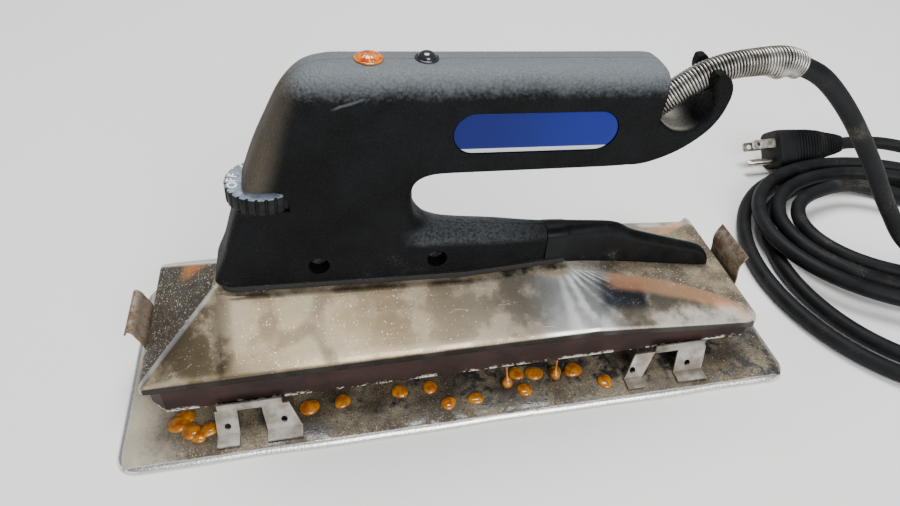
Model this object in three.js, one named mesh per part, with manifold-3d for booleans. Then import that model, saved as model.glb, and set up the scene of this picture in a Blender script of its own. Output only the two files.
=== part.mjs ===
// Carpet seaming iron standing in its sheet-metal tray, with its coiled lead and plug.
// Millimetres, +Z up, +X towards the cord end, -Y towards the nameplate side.
// The origin is on the table, at the middle of the tray.
import * as THREE from 'three';
import { mergeVertices } from 'three/addons/utils/BufferGeometryUtils.js';
import Module from 'manifold-3d';

const wasm = await Module();
wasm.setup();

// Driving dimensions

const gap = 0.3;
const overrun = 3;
const weld = 0.0001;

const base = {
  length: 294, width: 80.5, bottom: 16, thickness: 14.7, corner: 3, noseBevel: 7,
  taperStart: 63, heelDrop: 8.4, grooveCount: 7, groovePitch: 10, grooveWidth: 4, grooveDepth: 2.5,
};

// The tray stands out past the base by a margin at its ends and at its sides.
const trayMargin = { ends: 17, sides: 20.25 };

const tray = {
  length: base.length + 2 * trayMargin.ends, width: base.width + 2 * trayMargin.sides,
  height: 4, sheet: 1.2, hem: 5, corner: 11,
};

const plateau = { inset: 3.2, rise: 2.4 };

const overhang = 1;

const cover = {
  length: base.length + 2 * overhang, width: base.width + 2 * overhang,
  wall: 1.2, skirt: 4, shoulder: 3, hip: 1.6,
  ridgeStart: -113, apex: 53, ridgeHeight: 53.5, heelTop: 30.2,
  ridgeHalf: 16, noseHalf: 9, noseRound: 8, ridgeTaper: 2, apexHalf: 10.7, hipFlare: 92,
};

// The handle stands on the ridge and leans with it, so its own frame is tilted.
const ridgeFall = 0.06;
const tilt = Math.atan(ridgeFall);

const gasket = { thickness: 3, toe: -110, half: 13.2, tail: 53, tailHalf: 7.6, corner: 7 };

const handle = {
  toe: -113, length: 221, height: 105, half: 12.5, crownStart: 87, bevel: 3, wall: 3,
  footEnd: 42.2, footStart: -90, fork: 11.8,
};

const notch = { half: 6.6 };

// How steeply the heel ramp falls, seen in the handle's frame.
const ramp = (cover.ridgeHeight - ridgeFall * cover.apex - cover.heelTop) / (cover.length / 2 - cover.apex);

const tail = {
  end: cover.length / 2 - 6, sink: Math.tan(Math.atan(ramp) - tilt), tongue: 11, tongueHalf: 3, tongueLow: 6, tongueHigh: 13,
  apron: 0.113, flare: 1.15, knee: 0.75, crown: 0.7,
};

const dial = {
  along: -87.7, top: 51.8, thickness: 7.9, radius: 15.4, teeth: 36, toothDepth: 0.9,
  hubRise: 3.6, slotGap: 1, slotLow: 43.4, slotHigh: 53.5, bore: 3,
};

const shaft = { radius: 3, bottom: -13.4 };

const thermostat = { radius: 13, height: 13, flange: 16, flangeHeight: 2 };

const element = {
  radius: 4, offset: 24, noseEnd: -86, heelEnd: 62, centre: 29.2, sides: 12,
};

const stud = { radius: 2.5, depth: 8, front: -28, rear: 22, topHeight: 15.5 };
const nut = { flats: 8, height: 4, seatHeight: 9.5, pocket: 1.2 };

const screw = {
  fronts: [-66.2, -12.5], height: 12.2, recess: 4.7, head: 3.6, headHeight: 2.2,
  shank: 1.7, headDepth: 8, length: 14, slot: 0.9, slotDepth: 1.1,
};

const duct = { start: -50, end: -38, half: 6 };

const terminal = { start: handle.toe + 0.172 * handle.length, length: 20, half: 7, height: 12, floor: 24.3, channel: 2.2 };

const lens = { along: -43.3, radius: 5.3, stem: 4.3, stemLength: 6, dome: 3.2, rim: 0.8 };
const lamp = { radius: 3.2, length: 15 };
const plug = { along: -20.8, radius: 4.8, stem: 3.9, stemLength: 6, dome: 3, rim: 0.7 };

const nameplate = { along: 25, height: 79.3, length: 70.5, width: 18, thickness: 0.6, recess: 0.9 };

const spring = { radius: 5.4, wire: 0.55, pitch: 2, start: 17, steps: 8, sides: 5 };

const cord = { radius: 4.4, sides: 10, innerSteps: 34, freeSteps: 36 };

const clamp = { start: handle.toe + 0.7195 * handle.length, length: 10, half: 8.5, height: 16, floor: 66.3, slit: 1 };

const lead = { radius: 1.1, sides: 6, steps: 14 };

// The room between the base or the cover and what stands beside it.
const clearance = { rail: 2.25, noseClip: 1.2, heelClip: 1.1 };

const bracket = {
  ledge: 12, sheet: 1, rail: base.width / 2 + clearance.rail, railTop: 19.5, foot: 7, lean: 6, hole: 1.5,
  holeHeight: 8.6, holeSides: 12,
};

const noseBracket = {
  start: -118, end: -89, outer: [-119.4, -109.4, -119.4, -109.4], inner: [-98.5, -86, -97, -81],
};

const heelBracket = {
  start: 94.5, end: 121, outer: [107, 122, 104, 119.4], inner: [84, 94.5, 77.6, 87],
};

const clip = {
  width: 28, sheet: 0.9, footLength: 10, radius: 1,
  nose: -cover.length / 2 - clearance.noseClip, heel: cover.length / 2 + clearance.heelClip,
};

// The coil: a lower layer that winds in, and an upper layer that winds out again.
const coil = {
  turns: 4.97, steps: 24, sides: 6, rest: 4.9, layer: 9.5,
  lowerX: 272, lowerY: 3, lowerHalfX: 91, lowerHalfY: 105, lowerPitch: 15,
  upperX: 290, upperY: 31, upperHalfX: 58, upperHalfY: 42, upperPitch: 12, upperTilt: -0.2,
  climbStart: 1.95, climbEnd: 2.17, moveStart: 2.14, moveEnd: 2.45,
};

const supply = {
  front: 253, centreY: 121, centreZ: 15, roll: 0.855, length: 33, width: 26, height: 24, corner: 8,
  relief: 22, reliefStart: 9.5, reliefEnd: 6.6, ribs: 6, ribDepth: 0.8, socket: 3,
  bladeLength: 17, bladeWidth: 6.3, bladeThickness: 1.5, bladeSpacing: 12.7, bladeHole: 1.6,
  holeInset: 4.5, bladeOffset: 4, earthRadius: 2.4, earthLength: 20, earthOffset: 8,
};

// Geometry helpers

// A closed geometry as a solid that can be cut and joined.
function solid(geometry) {
  const bare = geometry.clone();
  bare.deleteAttribute('normal');
  bare.deleteAttribute('uv');
  const merged = mergeVertices(bare, weld);
  return new wasm.Manifold(new wasm.Mesh({
    numProp: 3,
    vertProperties: Float32Array.from(merged.attributes.position.array),
    triVerts: Uint32Array.from(merged.index.array),
  }));
}

function geometryOf(body) {
  const mesh = body.getMesh();
  const geometry = new THREE.BufferGeometry();
  geometry.setAttribute('position', new THREE.BufferAttribute(Float32Array.from(mesh.vertProperties), 3));
  geometry.setIndex(new THREE.BufferAttribute(Uint32Array.from(mesh.triVerts), 1));
  return geometry;
}

function indexed(positions, faces) {
  let volume = 0;
  const at = (i) => new THREE.Vector3().fromArray(positions, 3 * i);
  for (let f = 0; f < faces.length; f += 3) {
    volume += at(faces[f]).dot(at(faces[f + 1]).cross(at(faces[f + 2])));
  }
  const turned = volume < 0 ? faces.toReversed() : faces;
  const geometry = new THREE.BufferGeometry();
  geometry.setAttribute('position', new THREE.Float32BufferAttribute(positions, 3));
  geometry.setIndex(turned);
  return geometry;
}

// A closed body through rings of equally many points, with a fan over each end.
function loft(rings) {
  const sides = rings[0].length;
  const positions = [];
  rings.forEach((ring) => ring.forEach((p) => positions.push(p.x, p.y, p.z)));
  const faces = [];
  for (let r = 0; r + 1 < rings.length; r += 1) {
    for (let i = 0; i < sides; i += 1) {
      const a = r * sides + i;
      const b = r * sides + ((i + 1) % sides);
      faces.push(a, b, b + sides, a, b + sides, a + sides);
    }
  }
  [0, rings.length - 1].forEach((end) => {
    const centre = new THREE.Vector3();
    rings[end].forEach((p) => centre.add(p));
    centre.divideScalar(sides);
    const hub = positions.length / 3;
    positions.push(centre.x, centre.y, centre.z);
    for (let i = 0; i < sides; i += 1) {
      const a = end * sides + i;
      const b = end * sides + ((i + 1) % sides);
      faces.push(...(end === 0 ? [hub, b, a] : [hub, a, b]));
    }
  });
  return indexed(positions, faces);
}

function outline(points) {
  const shape = new THREE.Shape();
  points.forEach(([a, b], i) => (i === 0 ? shape.moveTo(a, b) : shape.lineTo(a, b)));
  shape.closePath();
  return shape;
}

// A rectangle about a centre, with round corners.
function roundedRectangle(length, width, radius, centreA = 0, centreB = 0) {
  const a = length / 2 - radius;
  const b = width / 2 - radius;
  const shape = new THREE.Shape();
  shape.absarc(centreA + a, centreB + b, radius, 0, Math.PI / 2);
  shape.absarc(centreA - a, centreB + b, radius, Math.PI / 2, Math.PI);
  shape.absarc(centreA - a, centreB - b, radius, Math.PI, Math.PI * 1.5);
  shape.absarc(centreA + a, centreB - b, radius, Math.PI * 1.5, Math.PI * 2);
  shape.closePath();
  return shape;
}

// A plan outline drawn in x and y, raised from one height to another.
function raised(shape, low, high, curveSegments = 6) {
  const geometry = new THREE.ExtrudeGeometry(shape, {
    depth: high - low, bevelEnabled: false, curveSegments,
  });
  return geometry.translate(0, 0, low);
}

// A side outline drawn in x and z, as thick as given across y, with round edges if asked.
function sideways(shape, half, bevel = 0, segments = 2) {
  const geometry = new THREE.ExtrudeGeometry(shape, {
    depth: 2 * (half - bevel), bevelEnabled: bevel > 0, bevelThickness: bevel, bevelSize: bevel,
    bevelOffset: -bevel, bevelSegments: segments, curveSegments: 8,
  });
  return geometry.rotateX(Math.PI / 2).translate(0, half - bevel, 0);
}

// An end outline drawn in y and z, run along x.
function lengthways(shape, start, end) {
  const geometry = new THREE.ExtrudeGeometry(shape, {
    depth: end - start, bevelEnabled: false, curveSegments: 8,
  });
  const axes = new THREE.Matrix4().makeBasis(
    new THREE.Vector3(0, 1, 0), new THREE.Vector3(0, 0, 1), new THREE.Vector3(1, 0, 0),
  );
  return geometry.applyMatrix4(axes).translate(start, 0, 0);
}

function block(x0, x1, y0, y1, z0, z1) {
  const geometry = new THREE.BoxGeometry(x1 - x0, Math.abs(y1 - y0), z1 - z0);
  return geometry.translate((x0 + x1) / 2, (y0 + y1) / 2, (z0 + z1) / 2);
}

// A round bar standing on end.
function post(radius, x, y, low, high, sides = 24) {
  const geometry = new THREE.CylinderGeometry(radius, radius, high - low, sides);
  return geometry.rotateX(Math.PI / 2).translate(x, y, (low + high) / 2);
}

// A round bar lying across y.
function crossbar(radius, x, z, y0, y1, sides = 20) {
  const geometry = new THREE.CylinderGeometry(radius, radius, y1 - y0, sides);
  return geometry.translate(x, (y0 + y1) / 2, z);
}

// A turned piece standing on end, from points of radius and height.
function turned(points, sides = 24) {
  const profile = points.map(([r, h]) => new THREE.Vector2(r, h));
  return new THREE.LatheGeometry(profile, sides).rotateX(Math.PI / 2);
}

function curveThrough(points) {
  return new THREE.CatmullRomCurve3(points.map((p) => new THREE.Vector3(...p)), false, 'centripetal');
}

function disc(radius, sides) {
  const points = [];
  for (let i = 0; i < sides; i += 1) {
    const turn = (2 * Math.PI * i) / sides;
    points.push([radius * Math.cos(turn), radius * Math.sin(turn)]);
  }
  return outline(points);
}

function tube(curve, radius, sides, steps) {
  return new THREE.ExtrudeGeometry(disc(radius, sides), { extrudePath: curve, steps, bevelEnabled: false });
}

// An unbroken wire through many points, each ring square to the wire.
function wire(points, radius, sides, level) {
  const rings = points.map((point, i) => {
    const before = points[Math.max(i - 1, 0)];
    const after = points[Math.min(i + 1, points.length - 1)];
    const along = after.clone().sub(before).normalize();
    const out = level[i].clone().addScaledVector(along, -level[i].dot(along)).normalize();
    const across = along.clone().cross(out);
    const ring = [];
    for (let s = 0; s < sides; s += 1) {
      const turn = (2 * Math.PI * s) / sides;
      ring.push(point.clone()
        .addScaledVector(out, radius * Math.cos(turn))
        .addScaledVector(across, radius * Math.sin(turn)));
    }
    return ring;
  });
  return loft(rings);
}

// The least space between two stretches of a wire that are not neighbours along it.
function leastGap(points, radius, apart) {
  let least = Infinity;
  for (let i = 0; i < points.length; i += 1) {
    for (let j = i + apart; j < points.length; j += 1) {
      least = Math.min(least, points[i].distanceTo(points[j]));
    }
  }
  return least - 2 * radius;
}

function blend(from, to, share) {
  const t = Math.min(Math.max(share, 0), 1);
  return from + (to - from) * t * t * (3 - 2 * t);
}

// The handle's tilted frame, and the way back into it for cutters drawn in the world's frame.
const handleFrame = new THREE.Matrix4()
  .makeTranslation(0, 0, cover.ridgeHeight)
  .multiply(new THREE.Matrix4().makeRotationY(tilt));
const intoHandle = handleFrame.clone().invert();

function toWorld(along, y, height) {
  return new THREE.Vector3(along, y, height).applyMatrix4(handleFrame);
}

// Materials

function finish(color, roughness, metalness) {
  return new THREE.MeshStandardMaterial({ color, roughness, metalness });
}

const trayTin = finish('#8d8578', 0.55, 0.8);
const dullSteel = finish('#7c746a', 0.6, 0.7);
const coatedIron = finish('#4a3a34', 0.7, 0.4);
const polishedSteel = finish('#c3bdb2', 0.25, 1);
const blackPlastic = finish('#1d1e20', 0.5, 0);
const smoothPlastic = finish('#16171a', 0.3, 0);
const blackRubber = finish('#1a1a1c', 0.6, 0);
const brightSteel = finish('#c9cbcc', 0.3, 1);
const brass = finish('#b99a55', 0.35, 1);
const amber = finish('#e07a18', 0.2, 0);
const labelBlue = finish('#1e3f96', 0.4, 0.2);
const ceramicWhite = finish('#e4dfd4', 0.6, 0);
const glassClear = finish('#f0c9a0', 0.1, 0);
const redLead = finish('#9a2f25', 0.6, 0);

const iron = new THREE.Group();
const handleGroup = new THREE.Group();
handleGroup.applyMatrix4(handleFrame);
iron.add(handleGroup);

const model = new THREE.Group();
model.add(iron);

function piece(parent, name, geometry, material) {
  const mesh = new THREE.Mesh(geometry, material);
  mesh.name = name;
  parent.add(mesh);
}

// Tray

function buildTray() {
  const inner = tray.sheet;
  const body = solid(raised(roundedRectangle(tray.length, tray.width, tray.corner), 0, tray.height))
    .subtract(solid(raised(
      roundedRectangle(tray.length - 2 * inner, tray.width - 2 * inner, tray.corner - inner),
      tray.sheet, tray.height - tray.sheet,
    )))
    .subtract(solid(raised(
      roundedRectangle(tray.length - 2 * tray.hem, tray.width - 2 * tray.hem, tray.corner - tray.hem),
      -overrun, tray.height - tray.sheet,
    )));
  piece(model, 'tray_plate', geometryOf(body), trayTin);
}

// One leg of a side bracket: it leans out from the rail to the tray and ends in a foot.
function bracketLeg([topStart, topEnd, footStart, footEnd], side) {
  const top = base.bottom - gap;
  const low = tray.height + gap;
  const lean = bracket.rail + bracket.lean;
  const ring = (start, end, y, z) => [
    new THREE.Vector3(start, side * y, z), new THREE.Vector3(end, side * y, z),
    new THREE.Vector3(end, side * (y + bracket.sheet), z),
    new THREE.Vector3(start, side * (y + bracket.sheet), z),
  ];
  const upright = solid(loft([
    ring(footStart, footEnd, lean, low), ring(topStart, topEnd, bracket.rail, top),
  ]));
  const foot = solid(block(
    footStart, footEnd, side * lean, side * (lean + bracket.foot), low, low + bracket.sheet,
  ));
  const middle = (footStart + footEnd) / 2;
  const reach = [side * bracket.rail, side * (lean + bracket.foot)].sort((a, b) => a - b);
  const hole = solid(crossbar(
    bracket.hole, middle, bracket.holeHeight, reach[0], reach[1], bracket.holeSides,
  ));
  return upright.subtract(hole).add(foot);
}

function buildBracket(name, sizes, side) {
  const top = base.bottom - gap;
  const outerFace = bracket.rail + bracket.sheet;
  const ledge = solid(block(
    sizes.start, sizes.end, side * (outerFace - bracket.ledge), side * outerFace, top - bracket.sheet, top,
  ));
  const rail = solid(block(
    sizes.start, sizes.end, side * bracket.rail, side * outerFace, top - bracket.sheet, bracket.railTop,
  ));
  const shelf = solid(block(
    Math.min(sizes.start, sizes.inner[0], sizes.outer[0]),
    Math.max(sizes.end, sizes.inner[1], sizes.outer[1]),
    side * bracket.rail, side * outerFace, top - bracket.sheet, top,
  ));
  const body = ledge.add(rail).add(shelf)
    .add(bracketLeg(sizes.outer, side))
    .add(bracketLeg(sizes.inner, side));
  piece(model, name, geometryOf(body), dullSteel);
}

// A sheet strip bent along a line of points in x and z.
function bentStrip(points, sheet, half) {
  const left = [];
  const right = [];
  points.forEach(([x, z], i) => {
    const [xa, za] = points[Math.max(i - 1, 0)];
    const [xb, zb] = points[Math.min(i + 1, points.length - 1)];
    const length = Math.hypot(xb - xa, zb - za);
    const nx = (-(zb - za) / length) * (sheet / 2);
    const nz = ((xb - xa) / length) * (sheet / 2);
    left.push([x + nx, z + nz]);
    right.push([x - nx, z - nz]);
  });
  return sideways(outline([...left, ...right.reverse()]), half);
}

// How far an end clip rises and leans, and the shares of its rise and lean at its bends.
const clipLine = {
  rise: 37.5, noseLean: 3.2, noseCurl: 6.2, heelLean: 2.2, heelFlare: 2.6,
};
const nose_clip_shares = { knee: 0.76, crest: 1.03, spread: 1.6, tip: 0.98 };
const heel_clip_shares = { waist: 0.9, tip: 1.08 };

function buildClips() {
  const low = tray.height + gap + clip.sheet / 2;
  const { nose, heel } = clip;
  const nosePoints = [
    [nose - clip.footLength, low], [nose - clip.radius, low], [nose, low + clip.radius],
    [nose, low + clipLine.rise * nose_clip_shares.knee], [nose - clipLine.noseLean, low + clipLine.rise],
    [nose - clipLine.noseLean * nose_clip_shares.spread, low + clipLine.rise * nose_clip_shares.crest],
    [nose - clipLine.noseCurl, low + clipLine.rise * nose_clip_shares.tip],
  ];
  const heelPoints = [
    [heel + clipLine.heelLean + clip.footLength, low], [heel + clipLine.heelLean + clip.radius, low],
    [heel + clipLine.heelLean, low + clip.radius], [heel, low + clipLine.rise * heel_clip_shares.waist],
    [heel + clipLine.heelFlare, low + clipLine.rise * heel_clip_shares.tip],
  ];
  piece(model, 'clip_nose', bentStrip(nosePoints, clip.sheet, clip.width / 2), dullSteel);
  piece(model, 'clip_heel', bentStrip(heelPoints, clip.sheet, clip.width / 2), dullSteel);
}

// Base plate and its heating element

const baseTop = base.bottom + base.thickness;

// The side outline of the base between its underside and a top that falls towards the heel.
function baseSide(inset, low, rise) {
  const end = base.length / 2 - inset;
  return outline([
    [-end, low], [end, low], [end, baseTop + rise - base.heelDrop],
    [base.taperStart, baseTop + rise], [-end, baseTop + rise],
  ]);
}

function basePlan(inset) {
  const end = base.length / 2 - inset;
  const half = base.width / 2 - inset;
  return outline([
    [-end, -half + base.noseBevel], [-end + base.noseBevel, -half], [end - base.corner, -half],
    [end, -half + base.corner], [end, half - base.corner], [end - base.corner, half],
    [-end + base.noseBevel, half], [-end, half - base.noseBevel],
  ]);
}

function elementCurve() {
  const path = new THREE.CurvePath();
  const { offset, noseEnd, heelEnd, centre } = element;
  const points = [[heelEnd, -offset, centre], [noseEnd, -offset, centre]];
  const bends = 12;
  for (let i = 1; i < bends; i += 1) {
    const turn = (Math.PI * i) / bends;
    points.push([noseEnd - offset * Math.sin(turn), -offset * Math.cos(turn), centre]);
  }
  points.push([noseEnd, offset, centre], [heelEnd, offset, centre]);
  for (let i = 0; i + 1 < points.length; i += 1) {
    path.add(new THREE.LineCurve3(new THREE.Vector3(...points[i]), new THREE.Vector3(...points[i + 1])));
  }
  return path;
}

// A body along the element's U, from a section drawn sideways and upwards.
function alongElement(section) {
  const points = elementCurve().curves.map((line) => line.v1);
  points.push(elementCurve().curves.at(-1).v2);
  const rings = points.map((point, i) => {
    const before = points[Math.max(i - 1, 0)];
    const after = points[Math.min(i + 1, points.length - 1)];
    const along = after.clone().sub(before).normalize();
    const across = new THREE.Vector3(-along.y, along.x, 0);
    return section.map(([a, b]) => point.clone().addScaledVector(across, a).add(new THREE.Vector3(0, 0, b)));
  });
  return loft(rings);
}

function buildBase() {
  const half = base.width / 2;
  const slab = solid(sideways(baseSide(0, base.bottom, 0), half))
    .intersect(solid(raised(basePlan(0), base.bottom - overrun, baseTop + overrun)));
  const step = solid(sideways(baseSide(plateau.inset, base.bottom + base.thickness / 4, plateau.rise), half))
    .intersect(solid(raised(basePlan(plateau.inset), base.bottom, baseTop + plateau.rise + overrun)));
  let body = slab.add(step);
  const room = element.radius + gap;
  const slot = [[-room, 0], [room, 0], [room, room * 2], [-room, room * 2]];
  body = body
    .subtract(solid(alongElement(elementSection(room))))
    .subtract(solid(alongElement(slot)));
  const tailSpace = solid(block(
    element.heelEnd - overrun, element.heelEnd + overrun * 3, -element.offset - room, element.offset + room,
    element.centre - room, baseTop + plateau.rise + overrun,
  ));
  body = body.subtract(tailSpace);
  for (let i = 0; i < base.grooveCount; i += 1) {
    const y = (i - (base.grooveCount - 1) / 2) * base.groovePitch;
    body = body.subtract(solid(block(
      -base.length / 2 - overrun, base.length / 2 + overrun,
      y - base.grooveWidth / 2, y + base.grooveWidth / 2,
      base.bottom - overrun, base.bottom + base.grooveDepth,
    )));
  }
  const floor = baseTop + plateau.rise - stud.depth;
  [stud.front, stud.rear].forEach((along) => {
    const x = toWorld(along, 0, 0).x;
    body = body.subtract(solid(post(stud.radius + gap, x, 0, floor, baseTop + plateau.rise + overrun)));
  });
  piece(iron, 'base_plate', geometryOf(body), coatedIron);

  piece(iron, 'heating_element', alongElement(elementSection(element.radius)), dullSteel);
}

function elementSection(radius) {
  const points = [];
  for (let i = 0; i < element.sides; i += 1) {
    const turn = (2 * Math.PI * i) / element.sides;
    points.push([radius * Math.cos(turn), radius * Math.sin(turn)]);
  }
  return points;
}

// Cover: a hipped roof with a flat ridge, a long nose face and a ramp at the heel

const lip = baseTop + gap;
const coverEnd = cover.length / 2;

function lipHeight(x) {
  const fall = base.heelDrop / (base.length / 2 - base.taperStart);
  return lip - Math.max(0, x - base.taperStart) * fall;
}

function ridgeHeightAt(x) {
  return cover.ridgeHeight - ridgeFall * x;
}

function roofTop(x) {
  const skirtTop = lipHeight(x) + cover.skirt;
  if (x < cover.ridgeStart) {
    const share = (x + coverEnd) / (cover.ridgeStart + coverEnd);
    return skirtTop + (ridgeHeightAt(cover.ridgeStart) - skirtTop) * share;
  }
  if (x <= cover.apex) return ridgeHeightAt(x);
  const share = (x - cover.apex) / (coverEnd - cover.apex);
  return ridgeHeightAt(cover.apex) + (cover.heelTop - ridgeHeightAt(cover.apex)) * share;
}

function roofHalf(x) {
  const full = cover.width / 2 - cover.shoulder / 2;
  if (x < cover.ridgeStart) {
    const share = (x + coverEnd) / (cover.ridgeStart + coverEnd);
    return full + (cover.noseHalf - full) * share;
  }
  if (x < cover.ridgeStart + cover.noseRound) {
    const share = (x - cover.ridgeStart) / cover.noseRound;
    return cover.noseHalf + (cover.ridgeHalf - cover.noseHalf) * Math.sqrt(1 - (1 - share) ** 2);
  }
  if (x <= cover.ridgeTaper) return cover.ridgeHalf;
  if (x <= cover.apex) {
    return blend(cover.ridgeHalf, cover.apexHalf, (x - cover.ridgeTaper) / (cover.apex - cover.ridgeTaper));
  }
  const share = Math.min((x - cover.apex) / cover.hipFlare, 1);
  return full + (cover.apexHalf - full) * Math.sqrt(1 - share ** 2);
}

// A bend between two straight lines, as three points on a curve.
function bend(before, corner, after, radius) {
  const near = (to) => {
    const length = Math.hypot(to[0] - corner[0], to[1] - corner[1]);
    const share = Math.min(radius / length, 1 / 2);
    return [corner[0] + (to[0] - corner[0]) * share, corner[1] + (to[1] - corner[1]) * share];
  };
  const start = near(before);
  const end = near(after);
  const middle = [(start[0] + 2 * corner[0] + end[0]) / 4, (start[1] + 2 * corner[1] + end[1]) / 4];
  return [start, middle, end];
}

function coverRing(x, inset, drop) {
  const ends = Math.max(0, Math.abs(x) - (coverEnd - cover.shoulder)) / cover.shoulder;
  const tuck = cover.shoulder * (1 - Math.sqrt(Math.max(0, 1 - ends ** 2)));
  const half = cover.width / 2 - inset - tuck / 2;
  const foot = lipHeight(x) - drop;
  const shoulder = lipHeight(x) + cover.skirt;
  const top = Math.max(roofTop(x) - inset - tuck / 2, shoulder - tuck / 2);
  const ridge = Math.min(roofHalf(x) - inset / 2, half - cover.shoulder / 2);
  const side = [
    [half, foot],
    ...bend([half, foot], [half, shoulder - tuck / 2], [ridge, top], cover.shoulder),
    ...bend([half, shoulder - tuck / 2], [ridge, top], [0, top], cover.hip),
  ];
  const other = side.map(([y, z]) => [-y, z]).reverse();
  return [...side, ...other].map(([y, z]) => new THREE.Vector3(x, y, z));
}

function coverStations(inset) {
  const end = coverEnd - inset;
  const rampSteps = 8;
  const places = [-end, -end + cover.shoulder / 3, -end + cover.shoulder, cover.ridgeStart];
  for (let i = 1; i <= 3; i += 1) places.push(cover.ridgeStart + (cover.noseRound * i) / 3);
  for (let i = 0; i <= 4; i += 1) {
    places.push(cover.ridgeTaper + ((cover.apex - cover.ridgeTaper) * i) / 4);
  }
  for (let i = 1; i <= rampSteps; i += 1) {
    places.push(cover.apex + (end - cover.shoulder - cover.apex) * (1 - (1 - i / rampSteps) ** 2));
  }
  places.push(end - cover.shoulder / 3, end, base.taperStart);
  return places.sort((a, b) => a - b);
}

function buildCover() {
  const outer = loft(coverStations(0).map((x) => coverRing(x, 0, 0)));
  const inner = loft(coverStations(cover.wall).map((x) => coverRing(x, cover.wall, overrun)));
  const body = solid(outer)
    .subtract(solid(inner))
    .subtract(handleHoles());
  piece(iron, 'cover', geometryOf(body), polishedSteel);
}

// What passes down through the ridge: the dial shaft, the lead duct and two studs.
function handleHoles() {
  const low = -cover.ridgeHeight / 4;
  const high = gasket.thickness + 2 * overrun;
  const round = solid(post(shaft.radius + 1.5 * gap, dial.along, 0, low, high)
    .applyMatrix4(handleFrame));
  const passage = solid(post(duct.half - gap, (duct.start + duct.end) / 2, 0, low, high)
    .applyMatrix4(handleFrame));
  return round.add(passage).add(studCutters());
}

function studCutters() {
  const bars = [stud.front, stud.rear].map((along) => {
    const low = toWorld(along, 0, -cover.ridgeHeight / 2);
    const high = toWorld(along, 0, stud.topHeight + 2 * gap);
    return solid(post(stud.radius + gap, toWorld(along, 0, 0).x, 0, low.z, high.z));
  });
  return bars[0].add(bars[1]);
}

// Gasket under the foot

function buildGasket() {
  const { toe, half, tail: end, tailHalf, corner } = gasket;
  const shape = new THREE.Shape();
  shape.moveTo(toe, -half + corner);
  shape.quadraticCurveTo(toe, -half, toe + corner, -half);
  shape.lineTo(cover.ridgeTaper, -half);
  shape.lineTo(end, -tailHalf);
  shape.lineTo(end, tailHalf);
  shape.lineTo(cover.ridgeTaper, half);
  shape.lineTo(toe + corner, half);
  shape.quadraticCurveTo(toe, half, toe, half - corner);
  shape.closePath();
  const body = solid(raised(shape, gap, gap + gasket.thickness))
    .subtract(solidInHandle(handleHoles()));
  piece(handleGroup, 'foot_gasket', geometryOf(body), blackRubber);
}

function solidInHandle(body) {
  return solid(geometryOf(body).applyMatrix4(intoHandle));
}

// Handle outlines, as shares of the handle's length from its toe and of its height

const front_shares = [[0.1, 0.631], [0.127, 0.76], [0.163, 0.902], [0.198, 0.972], [0.24, 1]];
const butt_shares = [[0.833, 1], [0.848, 0.967], [0.859, 0.886], [0.867, 0.818], [0.851, 0.581]];
const gap_shares = [
  [0.787, 0.571], [0.43, 0.571], [0.4, 0.533], [0.391, 0.467], [0.4, 0.39], [0.425, 0.329],
  [0.462, 0.286], [0.511, 0.252],
];
const fork_shares = [
  [0.783, 0.571], [0.852, 0.582], [0.896, 0.61], [0.929, 0.646], [0.959, 0.69], [0.981, 0.733],
  [0.995, 0.79], [1, 0.838], [1, 0.901], [0.99, 0.953], [0.973, 0.99], [0.952, 1], [0.94, 0.981],
  [0.939, 0.943], [0.952, 0.876], [0.957, 0.824], [0.948, 0.781], [0.93, 0.758], [0.905, 0.758],
  [0.885, 0.776], [0.869, 0.818], [0.783, 0.829],
];
const foot_line_shares = [0.42, 0.32, 0];
const cavity_shares = [
  [0.167, 0.229], [0.357, 0.229], [0.362, 0.457], [0.38, 0.59], [0.421, 0.629], [0.801, 0.629],
  [0.801, 0.943], [0.258, 0.943], [0.208, 0.905], [0.172, 0.8], [0.145, 0.667], [0.131, 0.571],
  [0.204, 0.552], [0.204, 0.381], [0.167, 0.362],
];

function handlePoints(shares) {
  return shares.map(([along, up]) => [handle.toe + along * handle.length, up * handle.height]);
}

const seat = 2 * gap + gasket.thickness;

// The channel that the spring and the lead lie in.
const channel = { radius: spring.radius + spring.wire + 2 * gap, sides: 16, steps: 60 };

// The crown of the grip: upright sides under half an ellipse.
function crownSection(half, low, top) {
  const shape = new THREE.Shape();
  shape.moveTo(half, low);
  shape.lineTo(half, handle.crownStart);
  shape.absellipse(0, handle.crownStart, half, top - handle.crownStart, 0, Math.PI);
  shape.lineTo(-half, low);
  shape.closePath();
  return shape;
}

// The foot: upright sides under a low arch, narrowing towards the tail.
const foot_shares = {
  knee: 0.62, along: [0, 0.5, 0.68, 0.82, 0.91, 1], half: [1, 1, 0.98, 0.87, 0.72, 0.58],
  top: [0.276, 0.276, 0.254, 0.229, 0.212, 0.196],
};

function footRing(along, half, top) {
  const knee = seat + (top - seat) * foot_shares.knee;
  const points = [[half, seat], [half, knee]];
  const steps = 4;
  for (let i = 1; i <= steps * 2 - 1; i += 1) {
    const turn = (Math.PI * i) / (steps * 2);
    points.push([half * Math.cos(turn), knee + (top - knee) * Math.sin(turn)]);
  }
  points.push([-half, knee], [-half, seat]);
  return points.map(([y, h]) => new THREE.Vector3(along, y, h));
}

function buildFoot() {
  const span = handle.footEnd - handle.footStart;
  return foot_shares.along.map((share, i) => footRing(
    handle.footStart + span * share, handle.half * foot_shares.half[i], handle.height * foot_shares.top[i],
  ));
}

function springPoints() {
  const spring_shares = [
    [0.855, 0.757], [0.893, 0.821], [0.936, 0.9], [1.017, 0.986], [1.085, 0.997], [1.139, 0.989],
    [1.175, 0.969],
  ];
  return handlePoints(spring_shares).map(([along, up]) => [along, 0, up]);
}

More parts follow.
